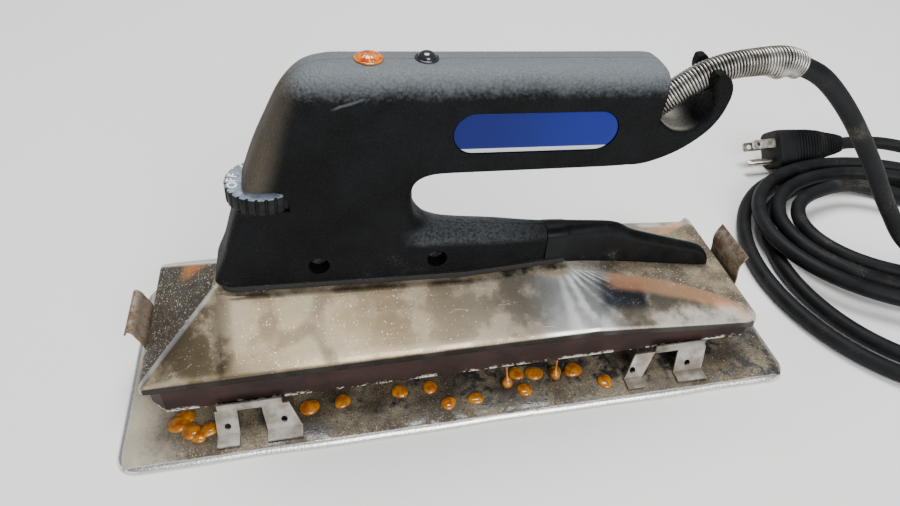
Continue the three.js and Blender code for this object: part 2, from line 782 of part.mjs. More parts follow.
const innerRoute = [
  [-62, 0, 36.7], [-62, 0, 48], [-59, 0, 62], [-49, 0, 73], [-34, 0, 76.5], [0, 0, 76.5], [30, 0, 75],
  [50, 0, 73.5], [64, 0, 73.8],
];

function innerCordCurve() {
  return curveThrough([...innerRoute, ...springPoints()]);
}

function buildHandle() {
  const bottom = foot_line_shares.map((share) => [handle.toe + share * handle.length, seat]);
  const rear = handle.toe + gap_shares.at(-1)[0] * handle.length;
  const front = handlePoints(front_shares);
  const profile = outline([
    ...bottom, ...front, ...handlePoints(butt_shares), ...handlePoints(gap_shares),
    [rear, seat + gasket.thickness],
  ]);
  const crown = lengthways(
    crownSection(handle.half, -overrun, handle.height), handle.toe - overrun, handle.toe + handle.length,
  );
  const mainBody = solid(sideways(profile, handle.half, handle.bevel, 3)).intersect(solid(crown));
  const fork = solid(sideways(outline(handlePoints(fork_shares)), handle.fork, handle.bevel, 3));
  let body = mainBody.add(fork).add(solid(loft(buildFoot())));

  const innerHalf = handle.half - handle.wall;
  const hollow = solid(sideways(outline(handlePoints(cavity_shares)), innerHalf))
    .intersect(solid(lengthways(
      crownSection(innerHalf, 0, handle.height - handle.wall), handle.toe, handle.toe + handle.length,
    )));
  body = body.subtract(hollow);

  body = body
    .subtract(solid(tube(innerCordCurve(), channel.radius, channel.sides, channel.steps)))
    .subtract(notchCutter())
    .subtract(dialCutter())
    .subtract(solidInHandle(studCutters()))
    .subtract(solid(block(duct.start, duct.end, -duct.half, duct.half, 0, terminal.floor)))
    .subtract(nutPockets())
    .subtract(tongueCutter())
    .subtract(lampCutters())
    .subtract(screwCutters());

  const plate = nameplateShape(gap);
  const plateCut = solid(sideways(plate, nameplate.recess).translate(0, -handle.half, 0));
  const far = solid(block(
    handle.toe - handle.half, handle.toe + handle.length + handle.half, gap / 2, handle.half * 2,
    0, handle.height + overrun,
  ));
  const near = solid(block(
    handle.toe - handle.half, handle.toe + handle.length + handle.half, -handle.half * 2, -gap / 2,
    0, handle.height + overrun,
  ));
  piece(handleGroup, 'handle_shell_near', geometryOf(body.intersect(near).subtract(plateCut)), blackPlastic);
  piece(handleGroup, 'handle_shell_far', geometryOf(body.intersect(far)), blackPlastic);
}

// The open channel between the two horns, over the spring's line.
function notchCutter() {
  const line = springPoints().slice(1, 4).map(([along, , up]) => [along, up]);
  const end = handle.toe + handle.length + overrun;
  const top = handle.height + overrun;
  const shape = outline([...line, [end + overrun, line.at(-1)[1]], [end + overrun, top], [line[0][0], top]]);
  return solid(sideways(shape, notch.half));
}

function dialCutter() {
  const slot = solid(post(dial.radius + dial.slotGap, dial.along, 0, dial.slotLow, dial.slotHigh, 40));
  const bore = solid(post(shaft.radius + gap, dial.along, 0, 0, dial.slotLow + overrun));
  const pivot = solid(post(
    dial.bore + gap, dial.along, 0, dial.slotHigh - overrun, dial.top + dial.hubRise + gap,
  ));
  return slot.add(bore).add(pivot);
}

function nutPockets() {
  const pockets = [stud.front, stud.rear].map((along) => {
    const half = nut.flats / 2 + nut.pocket;
    return solid(block(
      along - half, along + half, -half, half, nut.seatHeight - gap, stud.topHeight + nut.pocket,
    ));
  });
  return pockets[0].add(pockets[1]);
}

function tongueCutter() {
  return solid(block(
    handle.footEnd - tail.tongue - gap, handle.footEnd + overrun, -tail.tongueHalf - gap,
    tail.tongueHalf + gap, tail.tongueLow - gap, tail.tongueHigh + gap,
  ));
}

function lampCutters() {
  const top = handle.height + overrun;
  const low = handle.height - handle.wall * 3;
  return solid(post(lens.stem + gap, lens.along, 0, low, top))
    .add(solid(post(plug.stem + gap, plug.along, 0, low, top)));
}

function screwCutters() {
  let body = null;
  screw.fronts.forEach((along) => {
    const recess = solid(crossbar(
      screw.recess, along, screw.height, -handle.half - overrun, -handle.half + screw.headDepth,
    ));
    const deep = -handle.half + screw.headDepth + screw.headHeight + screw.length;
    const hole = solid(crossbar(screw.shank + gap, along, screw.height, -handle.half, deep));
    body = body ? body.add(recess).add(hole) : recess.add(hole);
  });
  return body;
}

// Two screws that draw the shells together, sunk in the near shell.
function buildShellScrews() {
  ['front', 'rear'].forEach((place, i) => {
    const face = -handle.half + screw.headDepth - gap;
    const profile = [
      [0, 0], [screw.head, 0], [screw.head, screw.headHeight], [screw.shank, screw.headHeight],
      [screw.shank, screw.headHeight + screw.length - overrun], [0, screw.headHeight + screw.length],
    ];
    const body = turned(profile, 16).rotateX(-Math.PI / 2);
    const reach = screw.head * 2;
    const cross = solid(block(-reach, reach, 0, screw.slotDepth * 2, -screw.slot / 2, screw.slot / 2)
      .translate(0, -screw.slotDepth, 0));
    const screwBody = solid(body).subtract(cross);
    const geometry = geometryOf(screwBody)
      .translate(screw.fronts[i], face - screw.headHeight, screw.height);
    piece(handleGroup, `shell_screw_${place}`, geometry, dullSteel);
  });
}

// Tail guide: a fin that runs down the heel ramp, held by a tongue between the shells
const tail_shares = {
  along: [0, 0.112, 0.114, 0.28, 0.5, 0.66, 0.8, 0.92, 0.985, 1],
  top: [0.195, 0.189, 0.189, 0.171, 0.138, 0.083, 0.02, -0.045, -0.095, -0.112],
  half: [0.56, 0.52, 0.52, 0.36, 0.32, 0.31, 0.3, 0.29, 0.22, 0.12],
};

function rampHeight(along) {
  return -Math.max(0, along - cover.apex) * tail.sink;
}

function buildTail() {
  const start = handle.footEnd + gap;
  const span = tail.end - start;
  const rings = tail_shares.along.map((share, i) => {
    const along = start + span * share;
    const bottom = share < tail.apron ? seat : rampHeight(along) + 2 * gap;
    const top = handle.height * tail_shares.top[i];
    const half = handle.half * tail_shares.half[i];
    const knee = bottom + (top - bottom) * tail.knee;
    const brow = knee + (top - knee) * tail.knee;
    const points = [[half * tail.flare, bottom], [half, knee], [half * tail.crown, brow], [0, top]];
    const other = points.slice(0, 3).reverse().map(([y, h]) => [-y, h]);
    return [...points, ...other].map(([y, h]) => new THREE.Vector3(along, y, h));
  });
  const tongue = solid(block(
    handle.footEnd - tail.tongue, start + overrun, -tail.tongueHalf, tail.tongueHalf,
    tail.tongueLow, tail.tongueHigh,
  ));
  piece(handleGroup, 'tail_guide', geometryOf(solid(loft(rings)).add(tongue)), smoothPlastic);
}

// Dial: a serrated thumb wheel on the thermostat's shaft

function buildDial() {
  const points = [];
  for (let i = 0; i < dial.teeth; i += 1) {
    [[0, 0], [0.35, 0], [0.5, 1], [0.85, 1]].forEach(([share, depth]) => {
      const turn = (2 * Math.PI * (i + share)) / dial.teeth;
      const radius = dial.radius - depth * dial.toothDepth;
      points.push([radius * Math.cos(turn), radius * Math.sin(turn)]);
    });
  }
  const rim = solid(raised(outline(points), dial.top - dial.thickness, dial.top));
  const hub = solid(post(dial.bore, 0, 0, dial.top - dial.toothDepth, dial.top + dial.hubRise));
  const bore = solid(post(shaft.radius + gap, 0, 0, dial.top - dial.thickness - overrun, dial.top - overrun));
  const body = rim.add(hub).subtract(bore);
  piece(handleGroup, 'dial_wheel', geometryOf(body).translate(dial.along, 0, 0), smoothPlastic);
  const rod = post(shaft.radius, dial.along, 0, shaft.bottom, dial.top - overrun - gap, 16);
  piece(handleGroup, 'dial_shaft', rod, brass);
}

function buildThermostat() {
  const low = baseTop + plateau.rise + gap;
  const centre = toWorld(dial.along, 0, shaft.bottom);
  const body = solid(post(thermostat.radius, centre.x, 0, low, low + thermostat.height))
    .add(solid(post(thermostat.flange, centre.x, 0, low, low + thermostat.flangeHeight)))
    .subtract(solid(post(
      shaft.radius + gap, dial.along, 0, shaft.bottom - gap, shaft.bottom + thermostat.height,
    ).applyMatrix4(handleFrame)));
  piece(iron, 'thermostat_body', geometryOf(body), ceramicWhite);
}

// Studs that stand in the base and hold the handle down, each with its nut

function buildStuds() {
  ['front', 'rear'].forEach((place) => {
    const along = stud[place];
    const foot = toWorld(along, 0, 0);
    const low = baseTop + plateau.rise - stud.depth + gap;
    const high = toWorld(along, 0, stud.topHeight).z;
    piece(iron, `mounting_stud_${place}`, post(stud.radius, foot.x, 0, low, high, 16), brightSteel);
    const hex = new THREE.CylinderGeometry(nut.flats / Math.sqrt(3), nut.flats / Math.sqrt(3), nut.height, 6);
    const body = solid(hex.rotateX(Math.PI / 2)
      .translate(along, 0, nut.seatHeight + nut.height / 2))
      .subtract(solidInHandle(studCutters()));
    piece(handleGroup, `stud_nut_${place}`, geometryOf(body), brightSteel);
  });
}

// Terminal block, leads and the lead's clamp inside the handle

function buildTerminalBlock() {
  const { start, length, half, height, floor, channel } = terminal;
  let body = solid(block(start, start + length, -half, half, floor, floor + height));
  [-1, 1].forEach((side) => {
    const y = (side * half) / 2;
    body = body.subtract(solid(block(
      start - overrun, start + length + overrun, y - channel / 2, y + channel / 2,
      floor + height / 2, floor + height + overrun,
    )));
  });
  piece(handleGroup, 'terminal_block', geometryOf(body), ceramicWhite);
}

// The leads' way: out of the element's ends, up over the base and through the duct to the block.
const run = {
  spread: 3.2, bend: 3, sweep: 7, back: 20, turnIn: [3, 9, 16], lift: [4, 9, 14],
  crossX: -30, nearY: -4, farY: 8, crossZ: 45, duct: [-2, 16, 25],
  side: 6, leave: [4, 8, 12], climb: 3, linkX: 6, linkY: 2, linkZ: 48,
};

function buildLeads() {
  const end = element.heelEnd + gap;
  const ductMiddle = (duct.start + duct.end) / 2;
  const ductX = toWorld(ductMiddle, 0, 0).x;
  const blockEnd = toWorld(terminal.start + terminal.length + gap, 0, terminal.floor + terminal.height / 3);
  const rise = (side) => [
    ...run.duct.map((height, i) => [
      ductX - (i === 2 ? run.bend : 0), side * run.spread, toWorld(ductMiddle, 0, height).z,
    ]),
    [blockEnd.x + run.bend, side * run.spread, blockEnd.z],
    [blockEnd.x, side * run.spread, blockEnd.z],
  ];
  const heater = (side) => {
    const across = (inward) => side * (element.offset - inward);
    return [
      [end, across(0), element.centre], [end + run.bend, across(0), element.centre],
      [end + run.sweep, across(run.turnIn[0]), element.centre + run.lift[0]],
      [end + run.bend, across(run.turnIn[1]), element.centre + run.lift[1]],
      [end - run.back, across(run.turnIn[2]), element.centre + run.lift[2]],
    ];
  };
  const near = [...heater(-1), [run.crossX, run.nearY, run.crossZ], ...rise(-1)];
  piece(iron, 'heater_lead_near', tube(curveThrough(near), lead.radius, lead.sides, lead.steps * 2), redLead);
  const body = toWorld(dial.along, 0, shaft.bottom);
  const low = baseTop + plateau.rise + gap + thermostat.height / 2;
  const rim = body.x + Math.sqrt(thermostat.radius ** 2 - run.side ** 2);
  const far = [
    ...heater(1), [run.crossX, run.farY, run.crossZ - gap],
    [rim + run.leave[1], run.side, low + run.climb],
    [rim + run.bend, run.side, low], [rim + gap, run.side, low],
  ];
  piece(iron, 'heater_lead_far', tube(curveThrough(far), lead.radius, lead.sides, lead.steps * 2), redLead);
  const link = [
    [rim + gap, -run.side, low], [rim + run.leave[0], -run.side, low],
    [rim + run.leave[2], -run.side, low + run.climb], [ductX - run.linkX, run.linkY, run.linkZ], ...rise(1),
  ];
  piece(iron, 'thermostat_lead', tube(curveThrough(link), lead.radius, lead.sides, lead.steps), redLead);
}

function buildInnerCord() {
  const cable = tube(innerCordCurve(), cord.radius, cord.sides, cord.innerSteps);
  piece(handleGroup, 'inner_cord', cable, blackRubber);
  const { start, length, half, height, floor, slit } = clamp;
  const body = solid(block(start, start + length, -half, half, floor, floor + height))
    .subtract(solid(tube(innerCordCurve(), cord.radius + gap, cord.sides, cord.innerSteps)))
    .subtract(solid(block(
      start - overrun, start + length + overrun, -slit / 2, slit / 2, floor + height / 2, floor + height * 2,
    )));
  piece(handleGroup, 'cord_clamp', geometryOf(body), blackPlastic);
}

// Lens, lamp, plug and nameplate

// Where a rounded tip is cut, as a share of its radius.
const tipShare = 0.7;

function capProfile(size) {
  const arc = [];
  const steps = 5;
  for (let i = 0; i <= steps; i += 1) {
    const turn = (Math.PI / 2) * (i / steps);
    arc.push([size.radius * Math.cos(turn), size.rim + (size.dome - size.rim) * Math.sin(turn)]);
  }
  arc[arc.length - 1][0] = 0;
  return [[0, -size.stemLength], [size.stem, -size.stemLength], [size.stem, 0], [size.radius, 0], ...arc];
}

function buildTopPieces() {
  const top = handle.height + gap;
  piece(handleGroup, 'amber_lens', turned(capProfile(lens)).translate(lens.along, 0, top), amber);
  piece(handleGroup, 'top_plug', turned(capProfile(plug)).translate(plug.along, 0, top), smoothPlastic);
  const lampTop = top - lens.stemLength - gap;
  const bulb = turned([
    [0, -lamp.length], [lamp.radius, -lamp.length], [lamp.radius, -lamp.radius],
    [lamp.radius * tipShare, -lamp.radius * (1 - tipShare)], [0, 0],
  ], 16).translate(lens.along, 0, lampTop);
  piece(handleGroup, 'neon_lamp', bulb, glassClear);
}

function nameplateShape(grow) {
  const { along, height, length, width } = nameplate;
  return roundedRectangle(length + 2 * grow, width + 2 * grow, width / 2 + grow, along, height);
}

function buildNameplate() {
  const plate = sideways(nameplateShape(0), nameplate.thickness / 2);
  const y = -handle.half + nameplate.recess - gap - nameplate.thickness / 2;
  piece(handleGroup, 'nameplate', plate.translate(0, y, 0), labelBlue);
}

// Strain relief spring: one unbroken wire, close wound round the cord

function buildSpring() {
  const curve = curveThrough([innerRoute.at(-1), ...springPoints()]);
  const whole = curve.getLength();
  const length = whole - spring.start - gap * 2;
  const turns = Math.round(length / spring.pitch);
  const points = [];
  const level = [];
  for (let i = 0; i <= turns * spring.steps; i += 1) {
    const along = (spring.start + (length * i) / (turns * spring.steps)) / whole;
    const centre = curve.getPointAt(along);
    const forward = curve.getTangentAt(along);
    const side = new THREE.Vector3(0, 1, 0);
    const up = side.clone().cross(forward).normalize();
    const turn = (2 * Math.PI * i) / spring.steps;
    const out = up.multiplyScalar(Math.cos(turn)).addScaledVector(side, Math.sin(turn));
    points.push(centre.addScaledVector(out, spring.radius));
    level.push(out);
  }
  console.log('spring least gap', leastGap(points, spring.wire, spring.steps - 1).toFixed(2));
  piece(handleGroup, 'strain_relief_spring', wire(points, spring.wire, spring.sides, level), brightSteel);
}

// Coiled lead: an oval coil of two layers, then a bend into the plug

function coilPoint(turn) {
  const angle = 2 * Math.PI * turn;
  const climb = blend(0, 1, (turn - coil.climbStart) / (coil.climbEnd - coil.climbStart));
  const move = blend(0, 1, (turn - coil.moveStart) / (coil.moveEnd - coil.moveStart));
  const inward = turn * coil.lowerPitch;
  const outward = Math.max(turn - coil.climbEnd, 0) * coil.upperPitch;
  const lower = new THREE.Vector3(
    coil.lowerX + (coil.lowerHalfX - inward) * Math.cos(angle),
    coil.lowerY + (coil.lowerHalfY - inward) * Math.sin(angle), 0,
  );
  const upper = new THREE.Vector3(
    (coil.upperHalfX + outward) * Math.cos(angle), (coil.upperHalfY + outward) * Math.sin(angle), 0,
  ).applyAxisAngle(new THREE.Vector3(0, 0, 1), coil.upperTilt)
    .add(new THREE.Vector3(coil.upperX, coil.upperY, 0));
  const point = lower.lerp(upper, move);
  point.z = coil.rest + coil.layer * climb;
  return point;
}

// From the coil's last turn round to the plug's back.
const bendOutRoute = [[384, 40, 14.6], [381, 70, 14.8], [364, 98, 15], [341, 116, 15]];

function coilPoints() {
  const first = coilPoint(0);
  const points = [first.clone().add(new THREE.Vector3(0, -2 * cord.radius, 0))];
  const count = Math.round(coil.turns * coil.steps);
  for (let i = 0; i <= count; i += 1) points.push(coilPoint((coil.turns * i) / count));
  const back = supply.front + supply.length + supply.relief + gap;
  const { centreY, centreZ } = supply;
  const last = points.at(-1);
  const bendOut = curveThrough([
    points.at(-2).toArray(), last.toArray(), ...bendOutRoute,
    [back + 2 * cord.radius, centreY, centreZ], [back, centreY, centreZ],
  ]);
  const samples = coil.steps;
  const before = points.at(-2).distanceTo(last) / bendOut.getLength();
  for (let i = 1; i <= samples; i += 1) {
    points.push(bendOut.getPointAt(before + ((1 - before) * i) / samples));
  }
  return points;
}

function buildCoil() {
  const points = coilPoints();
  const rise = points.map(() => new THREE.Vector3(0, 0, 1));
  console.log('coil least gap', leastGap(points, cord.radius, coil.steps / 3).toFixed(2));
  piece(model, 'cord_coil', wire(points, cord.radius, coil.sides, rise), blackRubber);
}

// The lead's free stretch, from the spring's mouth down to the coil
const freeRoute = [
  [169.6, 0, 134.9], [187.3, 0, 117.8], [211, -1, 90], [235, -3, 58.5],
  [254, -9, 36], [272, -20, 27.5], [292, -38, 25], [313, -57, 20], [336, -66, 13], [355, -56, 7.2],
];

function buildFreeCord() {
  const inside = innerCordCurve();
  const out = inside.getTangent(1).transformDirection(handleFrame);
  const start = inside.getPoint(1).applyMatrix4(handleFrame).addScaledVector(out, gap);
  const straight = start.clone().addScaledVector(out, cord.radius);
  const meet = coilPoint(0);
  const end = [meet.x, meet.y - 2 * cord.radius - gap, coil.rest];
  const beforeEnd = [end[0], end[1] - 3 * cord.radius, coil.rest];
  const route = [start.toArray(), straight.toArray(), ...freeRoute, beforeEnd, end];
  piece(model, 'cord_free', tube(curveThrough(route), cord.radius, cord.sides, cord.freeSteps), blackRubber);
}

// Plug: a ribbed moulded body with two flat blades and a round earth pin, lying rolled on its side

function buildSupplyPlug() {
  const group = new THREE.Group();
  group.position.set(supply.front, supply.centreY, supply.centreZ);
  group.rotation.x = supply.roll;
  model.add(group);
  const { length, relief, ribs, ribDepth, reliefStart, reliefEnd } = supply;
  const shell = lengthways(roundedRectangle(supply.width, supply.height, supply.corner), 0, length);
  const profile = [[0, length - overrun], [reliefStart, length - overrun]];
  for (let i = 0; i < ribs; i += 1) {
    const step = relief / ribs;
    const radius = reliefStart + ((reliefEnd - reliefStart) * i) / (ribs - 1);
    const place = length + step * i;
    profile.push([radius, place], [radius, place + step / 2]);
    profile.push([radius - ribDepth, place + step / 2], [radius - ribDepth, place + step]);
  }
  profile.push([0, length + relief]);
  const neck = turned(profile, 16).rotateY(Math.PI / 2);
  let body = solid(shell).add(solid(neck));
  const blades = [-1, 1].map((side) => (side * supply.bladeSpacing) / 2);
  const room = supply.bladeThickness / 2 + gap;
  blades.forEach((z) => {
    const half = supply.bladeWidth / 2 + gap;
    body = body.subtract(solid(block(
      -overrun, supply.socket + gap, supply.bladeOffset - half, supply.bladeOffset + half, z - room, z + room,
    )));
  });
  const socket = new THREE.CylinderGeometry(
    supply.earthRadius + gap, supply.earthRadius + gap, 2 * (supply.socket + gap), 16,
  ).rotateZ(Math.PI / 2).translate(0, -supply.earthOffset, 0);
  body = body.subtract(solid(socket));
  piece(group, 'plug_body', geometryOf(body), blackRubber);

  ['near', 'far'].forEach((place, i) => {
    const half = supply.bladeWidth / 2;
    const chamfer = half / 3;
    const tip = -supply.bladeLength;
    const shape = outline([
      [supply.socket, -half], [supply.socket, half], [tip + chamfer, half], [tip, half - chamfer],
      [tip, -half + chamfer], [tip + chamfer, -half],
    ]);
    const hole = new THREE.Path();
    hole.absarc(tip + supply.holeInset, 0, supply.bladeHole, 0, 2 * Math.PI);
    shape.holes.push(hole);
    const z = blades[1 - i];
    const low = z - supply.bladeThickness / 2;
    const blade = raised(shape, low, low + supply.bladeThickness).translate(0, supply.bladeOffset, 0);
    piece(group, `plug_blade_${place}`, blade, brightSteel);
  });
  const { earthRadius, earthLength } = supply;
  const rod = turned([
    [0, -supply.socket], [earthRadius, -supply.socket], [earthRadius, earthLength - earthRadius],
    [earthRadius * tipShare, earthLength - earthRadius * (1 - tipShare)], [0, earthLength],
  ], 16).rotateY(-Math.PI / 2).translate(0, -supply.earthOffset, 0);
  piece(group, 'plug_earth_pin', rod, brightSteel);
}

buildTray();
[[noseBracket, 'nose'], [heelBracket, 'heel']].forEach(([sizes, place]) => {
  buildBracket(`bracket_${place}_near`, sizes, -1);
  buildBracket(`bracket_${place}_far`, sizes, 1);
});
buildClips();
buildBase();
buildCover();
buildGasket();
buildHandle();
buildShellScrews();
buildTail();
buildDial();
buildThermostat();
buildStuds();
buildTerminalBlock();
buildLeads();
buildInnerCord();
buildTopPieces();
buildNameplate();
buildSpring();
buildCoil();
buildFreeCord();
buildSupplyPlug();

export default model;
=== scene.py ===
import math

import bmesh
import bpy
import numpy as np
from mathutils import Matrix, Vector


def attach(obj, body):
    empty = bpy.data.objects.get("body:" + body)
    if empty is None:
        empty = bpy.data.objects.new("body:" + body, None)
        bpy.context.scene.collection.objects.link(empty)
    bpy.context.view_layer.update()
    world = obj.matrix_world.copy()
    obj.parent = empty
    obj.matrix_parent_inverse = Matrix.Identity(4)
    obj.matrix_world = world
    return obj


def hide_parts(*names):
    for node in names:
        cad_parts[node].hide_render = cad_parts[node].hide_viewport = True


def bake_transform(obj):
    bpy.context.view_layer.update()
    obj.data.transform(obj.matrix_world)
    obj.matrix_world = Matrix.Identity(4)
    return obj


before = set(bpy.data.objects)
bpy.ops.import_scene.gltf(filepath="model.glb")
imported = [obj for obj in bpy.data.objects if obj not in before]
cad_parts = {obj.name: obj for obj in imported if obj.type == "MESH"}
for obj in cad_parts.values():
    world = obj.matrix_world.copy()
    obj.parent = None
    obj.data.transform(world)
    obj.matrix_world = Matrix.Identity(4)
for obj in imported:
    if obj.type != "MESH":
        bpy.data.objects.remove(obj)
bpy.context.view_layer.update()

# Tray
# One sheet of tinned steel, pressed flat, with its edges rolled down and folded in under as
# a hem. It is dusty and smeared with old adhesive, and worn bright along the roll.

MM = 0.001
tray_length = 328
tray_width = 121
tray_corner = 11
# How far the near edge is bowed in, and how far it dips.
tray_bow = 0.9
tray_dip = 0.5
# How far in from the rim, and how high: over the roll, under the hem and back to the middle.
tray_section = np.array([
    [58, 4], [46, 4], [34, 4], [24, 4], [16, 4], [9, 3.97], [6, 3.9], [4, 3.75], [2.4, 3.4], [1.2, 2.9],
    [0.4, 2.2], [0, 1.4], [0.1, 0.7], [0.5, 0.2], [1.2, 0], [3.4, 0], [4.6, 0.2], [5, 0.6], [4.6, 1],
    [3, 1.2], [1.6, 1.5], [1.2, 2.1], [2, 2.6], [6, 2.8], [58, 2.8],
])


def placed(name, data):
    """A new object in the scene, at the origin."""
    made = bpy.data.objects.new(name, data)
    bpy.context.scene.collection.objects.link(made)
    return made


def smoothed(mesh, sharp):
    """Smooth shading, with a crease where faces turn by more than sharp degrees."""
    mesh.polygons.foreach_set("use_smooth", np.ones(len(mesh.polygons), bool))
    mesh.set_sharp_from_angle(angle=math.radians(sharp))
    return mesh


def skin(name, grid, closed=True, capped=True, sharp=35):
    """A surface through rows of points. Neighbouring rows are joined by quads, each end row
    is closed on its middle, and the faces are turned round if they hold less than nothing."""
    grid = np.asarray(grid, float)
    rows, count = grid.shape[:2]
    index = np.arange(rows * count).reshape(rows, count)
    if closed:
        index = np.concatenate([index, index[:, :1]], 1)
    quads = np.stack([index[:-1, :-1], index[:-1, 1:], index[1:, 1:], index[1:, :-1]], -1).reshape(-1, 4)
    points = grid.reshape(-1, 3)
    fans = np.zeros((0, 3), int)
    if capped:
        hub = len(points)
        points = np.concatenate([points, [grid[0].mean(0), grid[-1].mean(0)]])
        first = np.stack([np.full(count, hub), index[0, 1:], index[0, :-1]], -1)
        last = np.stack([np.full(count, hub + 1), index[-1, :-1], index[-1, 1:]], -1)
        fans = np.concatenate([first, last])
    triangles = np.concatenate([quads[:, :3], quads[:, [0, 2, 3]], fans])
    a, b, c = (points[triangles[:, i]] for i in range(3))
    if np.einsum("ij,ij->", a, np.cross(b, c)) < 0:
        quads = quads[:, ::-1]
        fans = fans[:, ::-1]
    mesh = bpy.data.meshes.new(name)
    mesh.from_pydata((points * MM).tolist(), [], quads.tolist() + fans.tolist())
    return placed(name, smoothed(mesh, sharp))


def rounded_ring(half_a, half_b, radius, arc=8, run=12):
    """A rectangle with round corners: a quarter circle is carried to each corner in turn,
    and the straight after it is cut into equal steps."""
    signs = np.array([[1, 1], [-1, 1], [-1, -1], [1, -1]])
    parts = []
    for i, sign in enumerate(signs):
        turn = np.linspace(0, np.pi / 2, arc + 1) + i * np.pi / 2
        middle = sign * [half_a - radius, half_b - radius]
        parts.append(middle + radius * np.stack([np.cos(turn), np.sin(turn)], -1))
    straights = [
        parts[i][-1] + (parts[(i + 1) % 4][0] - parts[i][-1]) * np.linspace(0, 1, run + 1)[1:-1, None]
        for i in range(4)
    ]
    return np.concatenate([block for i in range(4) for block in (parts[i], straights[i])])


def tray_grid():
    """Each row is the tray's outline drawn in by its place in the section. The near edge bows
    in and dips by the sum of two sines, most at the rim and not at all by the brackets."""
    rows = []
    for inset, height in tray_section:
        half_x, half_y = tray_length / 2 - inset, tray_width / 2 - inset
        ring = rounded_ring(half_x, half_y, max(tray_corner - inset, 1), run=40)
        rows.append(np.column_stack([ring, np.full(len(ring), height)]))
    grid = np.array(rows)
    x, y, z = np.moveaxis(grid, -1, 0)
    wave = 0.5 + 0.3 * np.sin(x / 21 + 0.6) + 0.2 * np.sin(x / 9)
    near = np.clip((-y - 52) / 8, 0, 1) ** 2
    y += tray_bow * wave * near
    z -= tray_dip * wave * near * np.clip((z - 1.5) / 2.5, 0, 1)
    return grid


class Tone:
    """A socket of a finish. A sign between tones, or a tone and a number, adds a Math node."""

    def __init__(self, finish, socket):
        self.finish = finish
        self.socket = socket

    def math(self, operation, *values):
        return self.finish.node("Math", {"operation": operation}, dict(enumerate(values)))

    def __abs__(self):
        return self.math("ABSOLUTE", self)

    def sine(self):
        return self.math("SINE", self)


signs = {
    "add": "ADD", "sub": "SUBTRACT", "mul": "MULTIPLY", "truediv": "DIVIDE", "pow": "POWER",
    "or": "MAXIMUM",
}
# Each sign, and then its reflected form, which has the number on the left.
for sign, operation in signs.items():
    setattr(Tone, f"__{sign}__", lambda tone, other, kind=operation: tone.math(kind, tone, other))
    setattr(Tone, f"__r{sign}__", lambda tone, other, kind=operation: tone.math(kind, other, tone))


class Finish:
    """One finish: a material whose nodes are added by node() and fed to its shader."""

    def __init__(self, name, **constants):
        self.material = bpy.data.materials.new(name)
        self.material.use_nodes = True
        self.tree = self.material.node_tree
        self.shader = self.tree.nodes["Principled BSDF"]
        for socket, value in constants.items():
            self.shader.inputs[socket.replace("_", " ")].default_value = value

    def node(self, kind, settings=None, sockets=None, out=0):
        """Adds a node of a kind, with its settings first and then its sockets."""
        made = self.tree.nodes.new("ShaderNode" + kind)
        for setting, value in (settings or {}).items():
            setattr(made, setting, value)
        for socket, value in (sockets or {}).items():
            if isinstance(value, Tone):
                self.tree.links.new(value.socket, made.inputs[socket])
            else:
                made.inputs[socket].default_value = value
        return Tone(self, made.outputs[out])

    def spot(self, stretch=(1, 1, 1)):
        """Where a point lies on the object, in millimetres, and stretched."""
        scale = tuple(share / MM for share in stretch)
        return self.node("Mapping", {}, {"Vector": self.node("TexCoord", out="Object"), "Scale": scale})

    def axis(self, letter):
        """One of the three places of a point, X, Y or Z, in millimetres."""
        return self.node("SeparateXYZ", {}, {0: self.spot()}, out=letter)

    def noise(self, size, detail=3, rough=0.5, spot=None):
        """Soft noise whose lumps are about size millimetres across."""
        spot = spot or self.spot()
        sockets = {"Vector": spot, "Scale": 1 / size, "Detail": detail, "Roughness": rough}
        return self.node("TexNoise", {}, sockets)

    def fade(self, tone, low, high):
        """A smooth step from 0 at low to 1 at high, which may be the smaller of the two."""
        sockets = {"Value": tone, "From Min": low, "From Max": high}
        return self.node("MapRange", {"interpolation_type": "SMOOTHSTEP"}, sockets)

    def where(self, *fades):
        """The product of fades, each given as its tone, low and high."""
        share = self.fade(*fades[0])
        for fade in fades[1:]:
            share = share * self.fade(*fade)
        return share

    def mix(self, share, one, other):
        """The first colour where the share is 0 and the other where it is 1. Each is a tone
        or a code."""
        one, other = (paint(colour) if isinstance(colour, str) else colour for colour in (one, other))
        return self.node("Mix", {"data_type": "RGBA"}, {0: share, 6: one, 7: other}, out=2)

    def layers(self, under, *coats):
        """A colour under coats, each given as the share that it covers and its colour."""
        for share, colour in coats:
            under = self.mix(share, under, colour)
        return under

    def feed(self, socket, tone):
        self.tree.links.new(tone.socket, self.shader.inputs[socket])

    def relief(self, tone, depth):
        """A tone as height, with 1 standing for a depth in millimetres."""
        self.feed("Normal", self.node("Bump", {}, {"Height": tone, "Distance": depth * MM}))


def paint(code):
    """A colour from its code on a screen, taken to the linear values that shaders use."""
    parts = np.array([int(code[i:i + 2], 16) / 255 for i in (0, 2, 4)])
    linear = np.where(parts <= 0.04045, parts / 12.92, ((parts + 0.055) / 1.055) ** 2.4)
    return (*linear.tolist(), 1.0)


def fit(piece, body, slot, finish, *nodes):
    """A piece gets its finish, rides on its body and stands for its solids, which are hidden. The slot
    is not used.
    """
    piece.data.materials.clear()
    piece.data.materials.append(finish.material)
    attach(piece, body)
    if nodes:
        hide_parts(*nodes)


def dress(finish, *nodes):
    """Solids whose shape is right stay, and take the finish in their material slots."""
    for node in nodes:
        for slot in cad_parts[node].material_slots:
            slot.material = finish.material


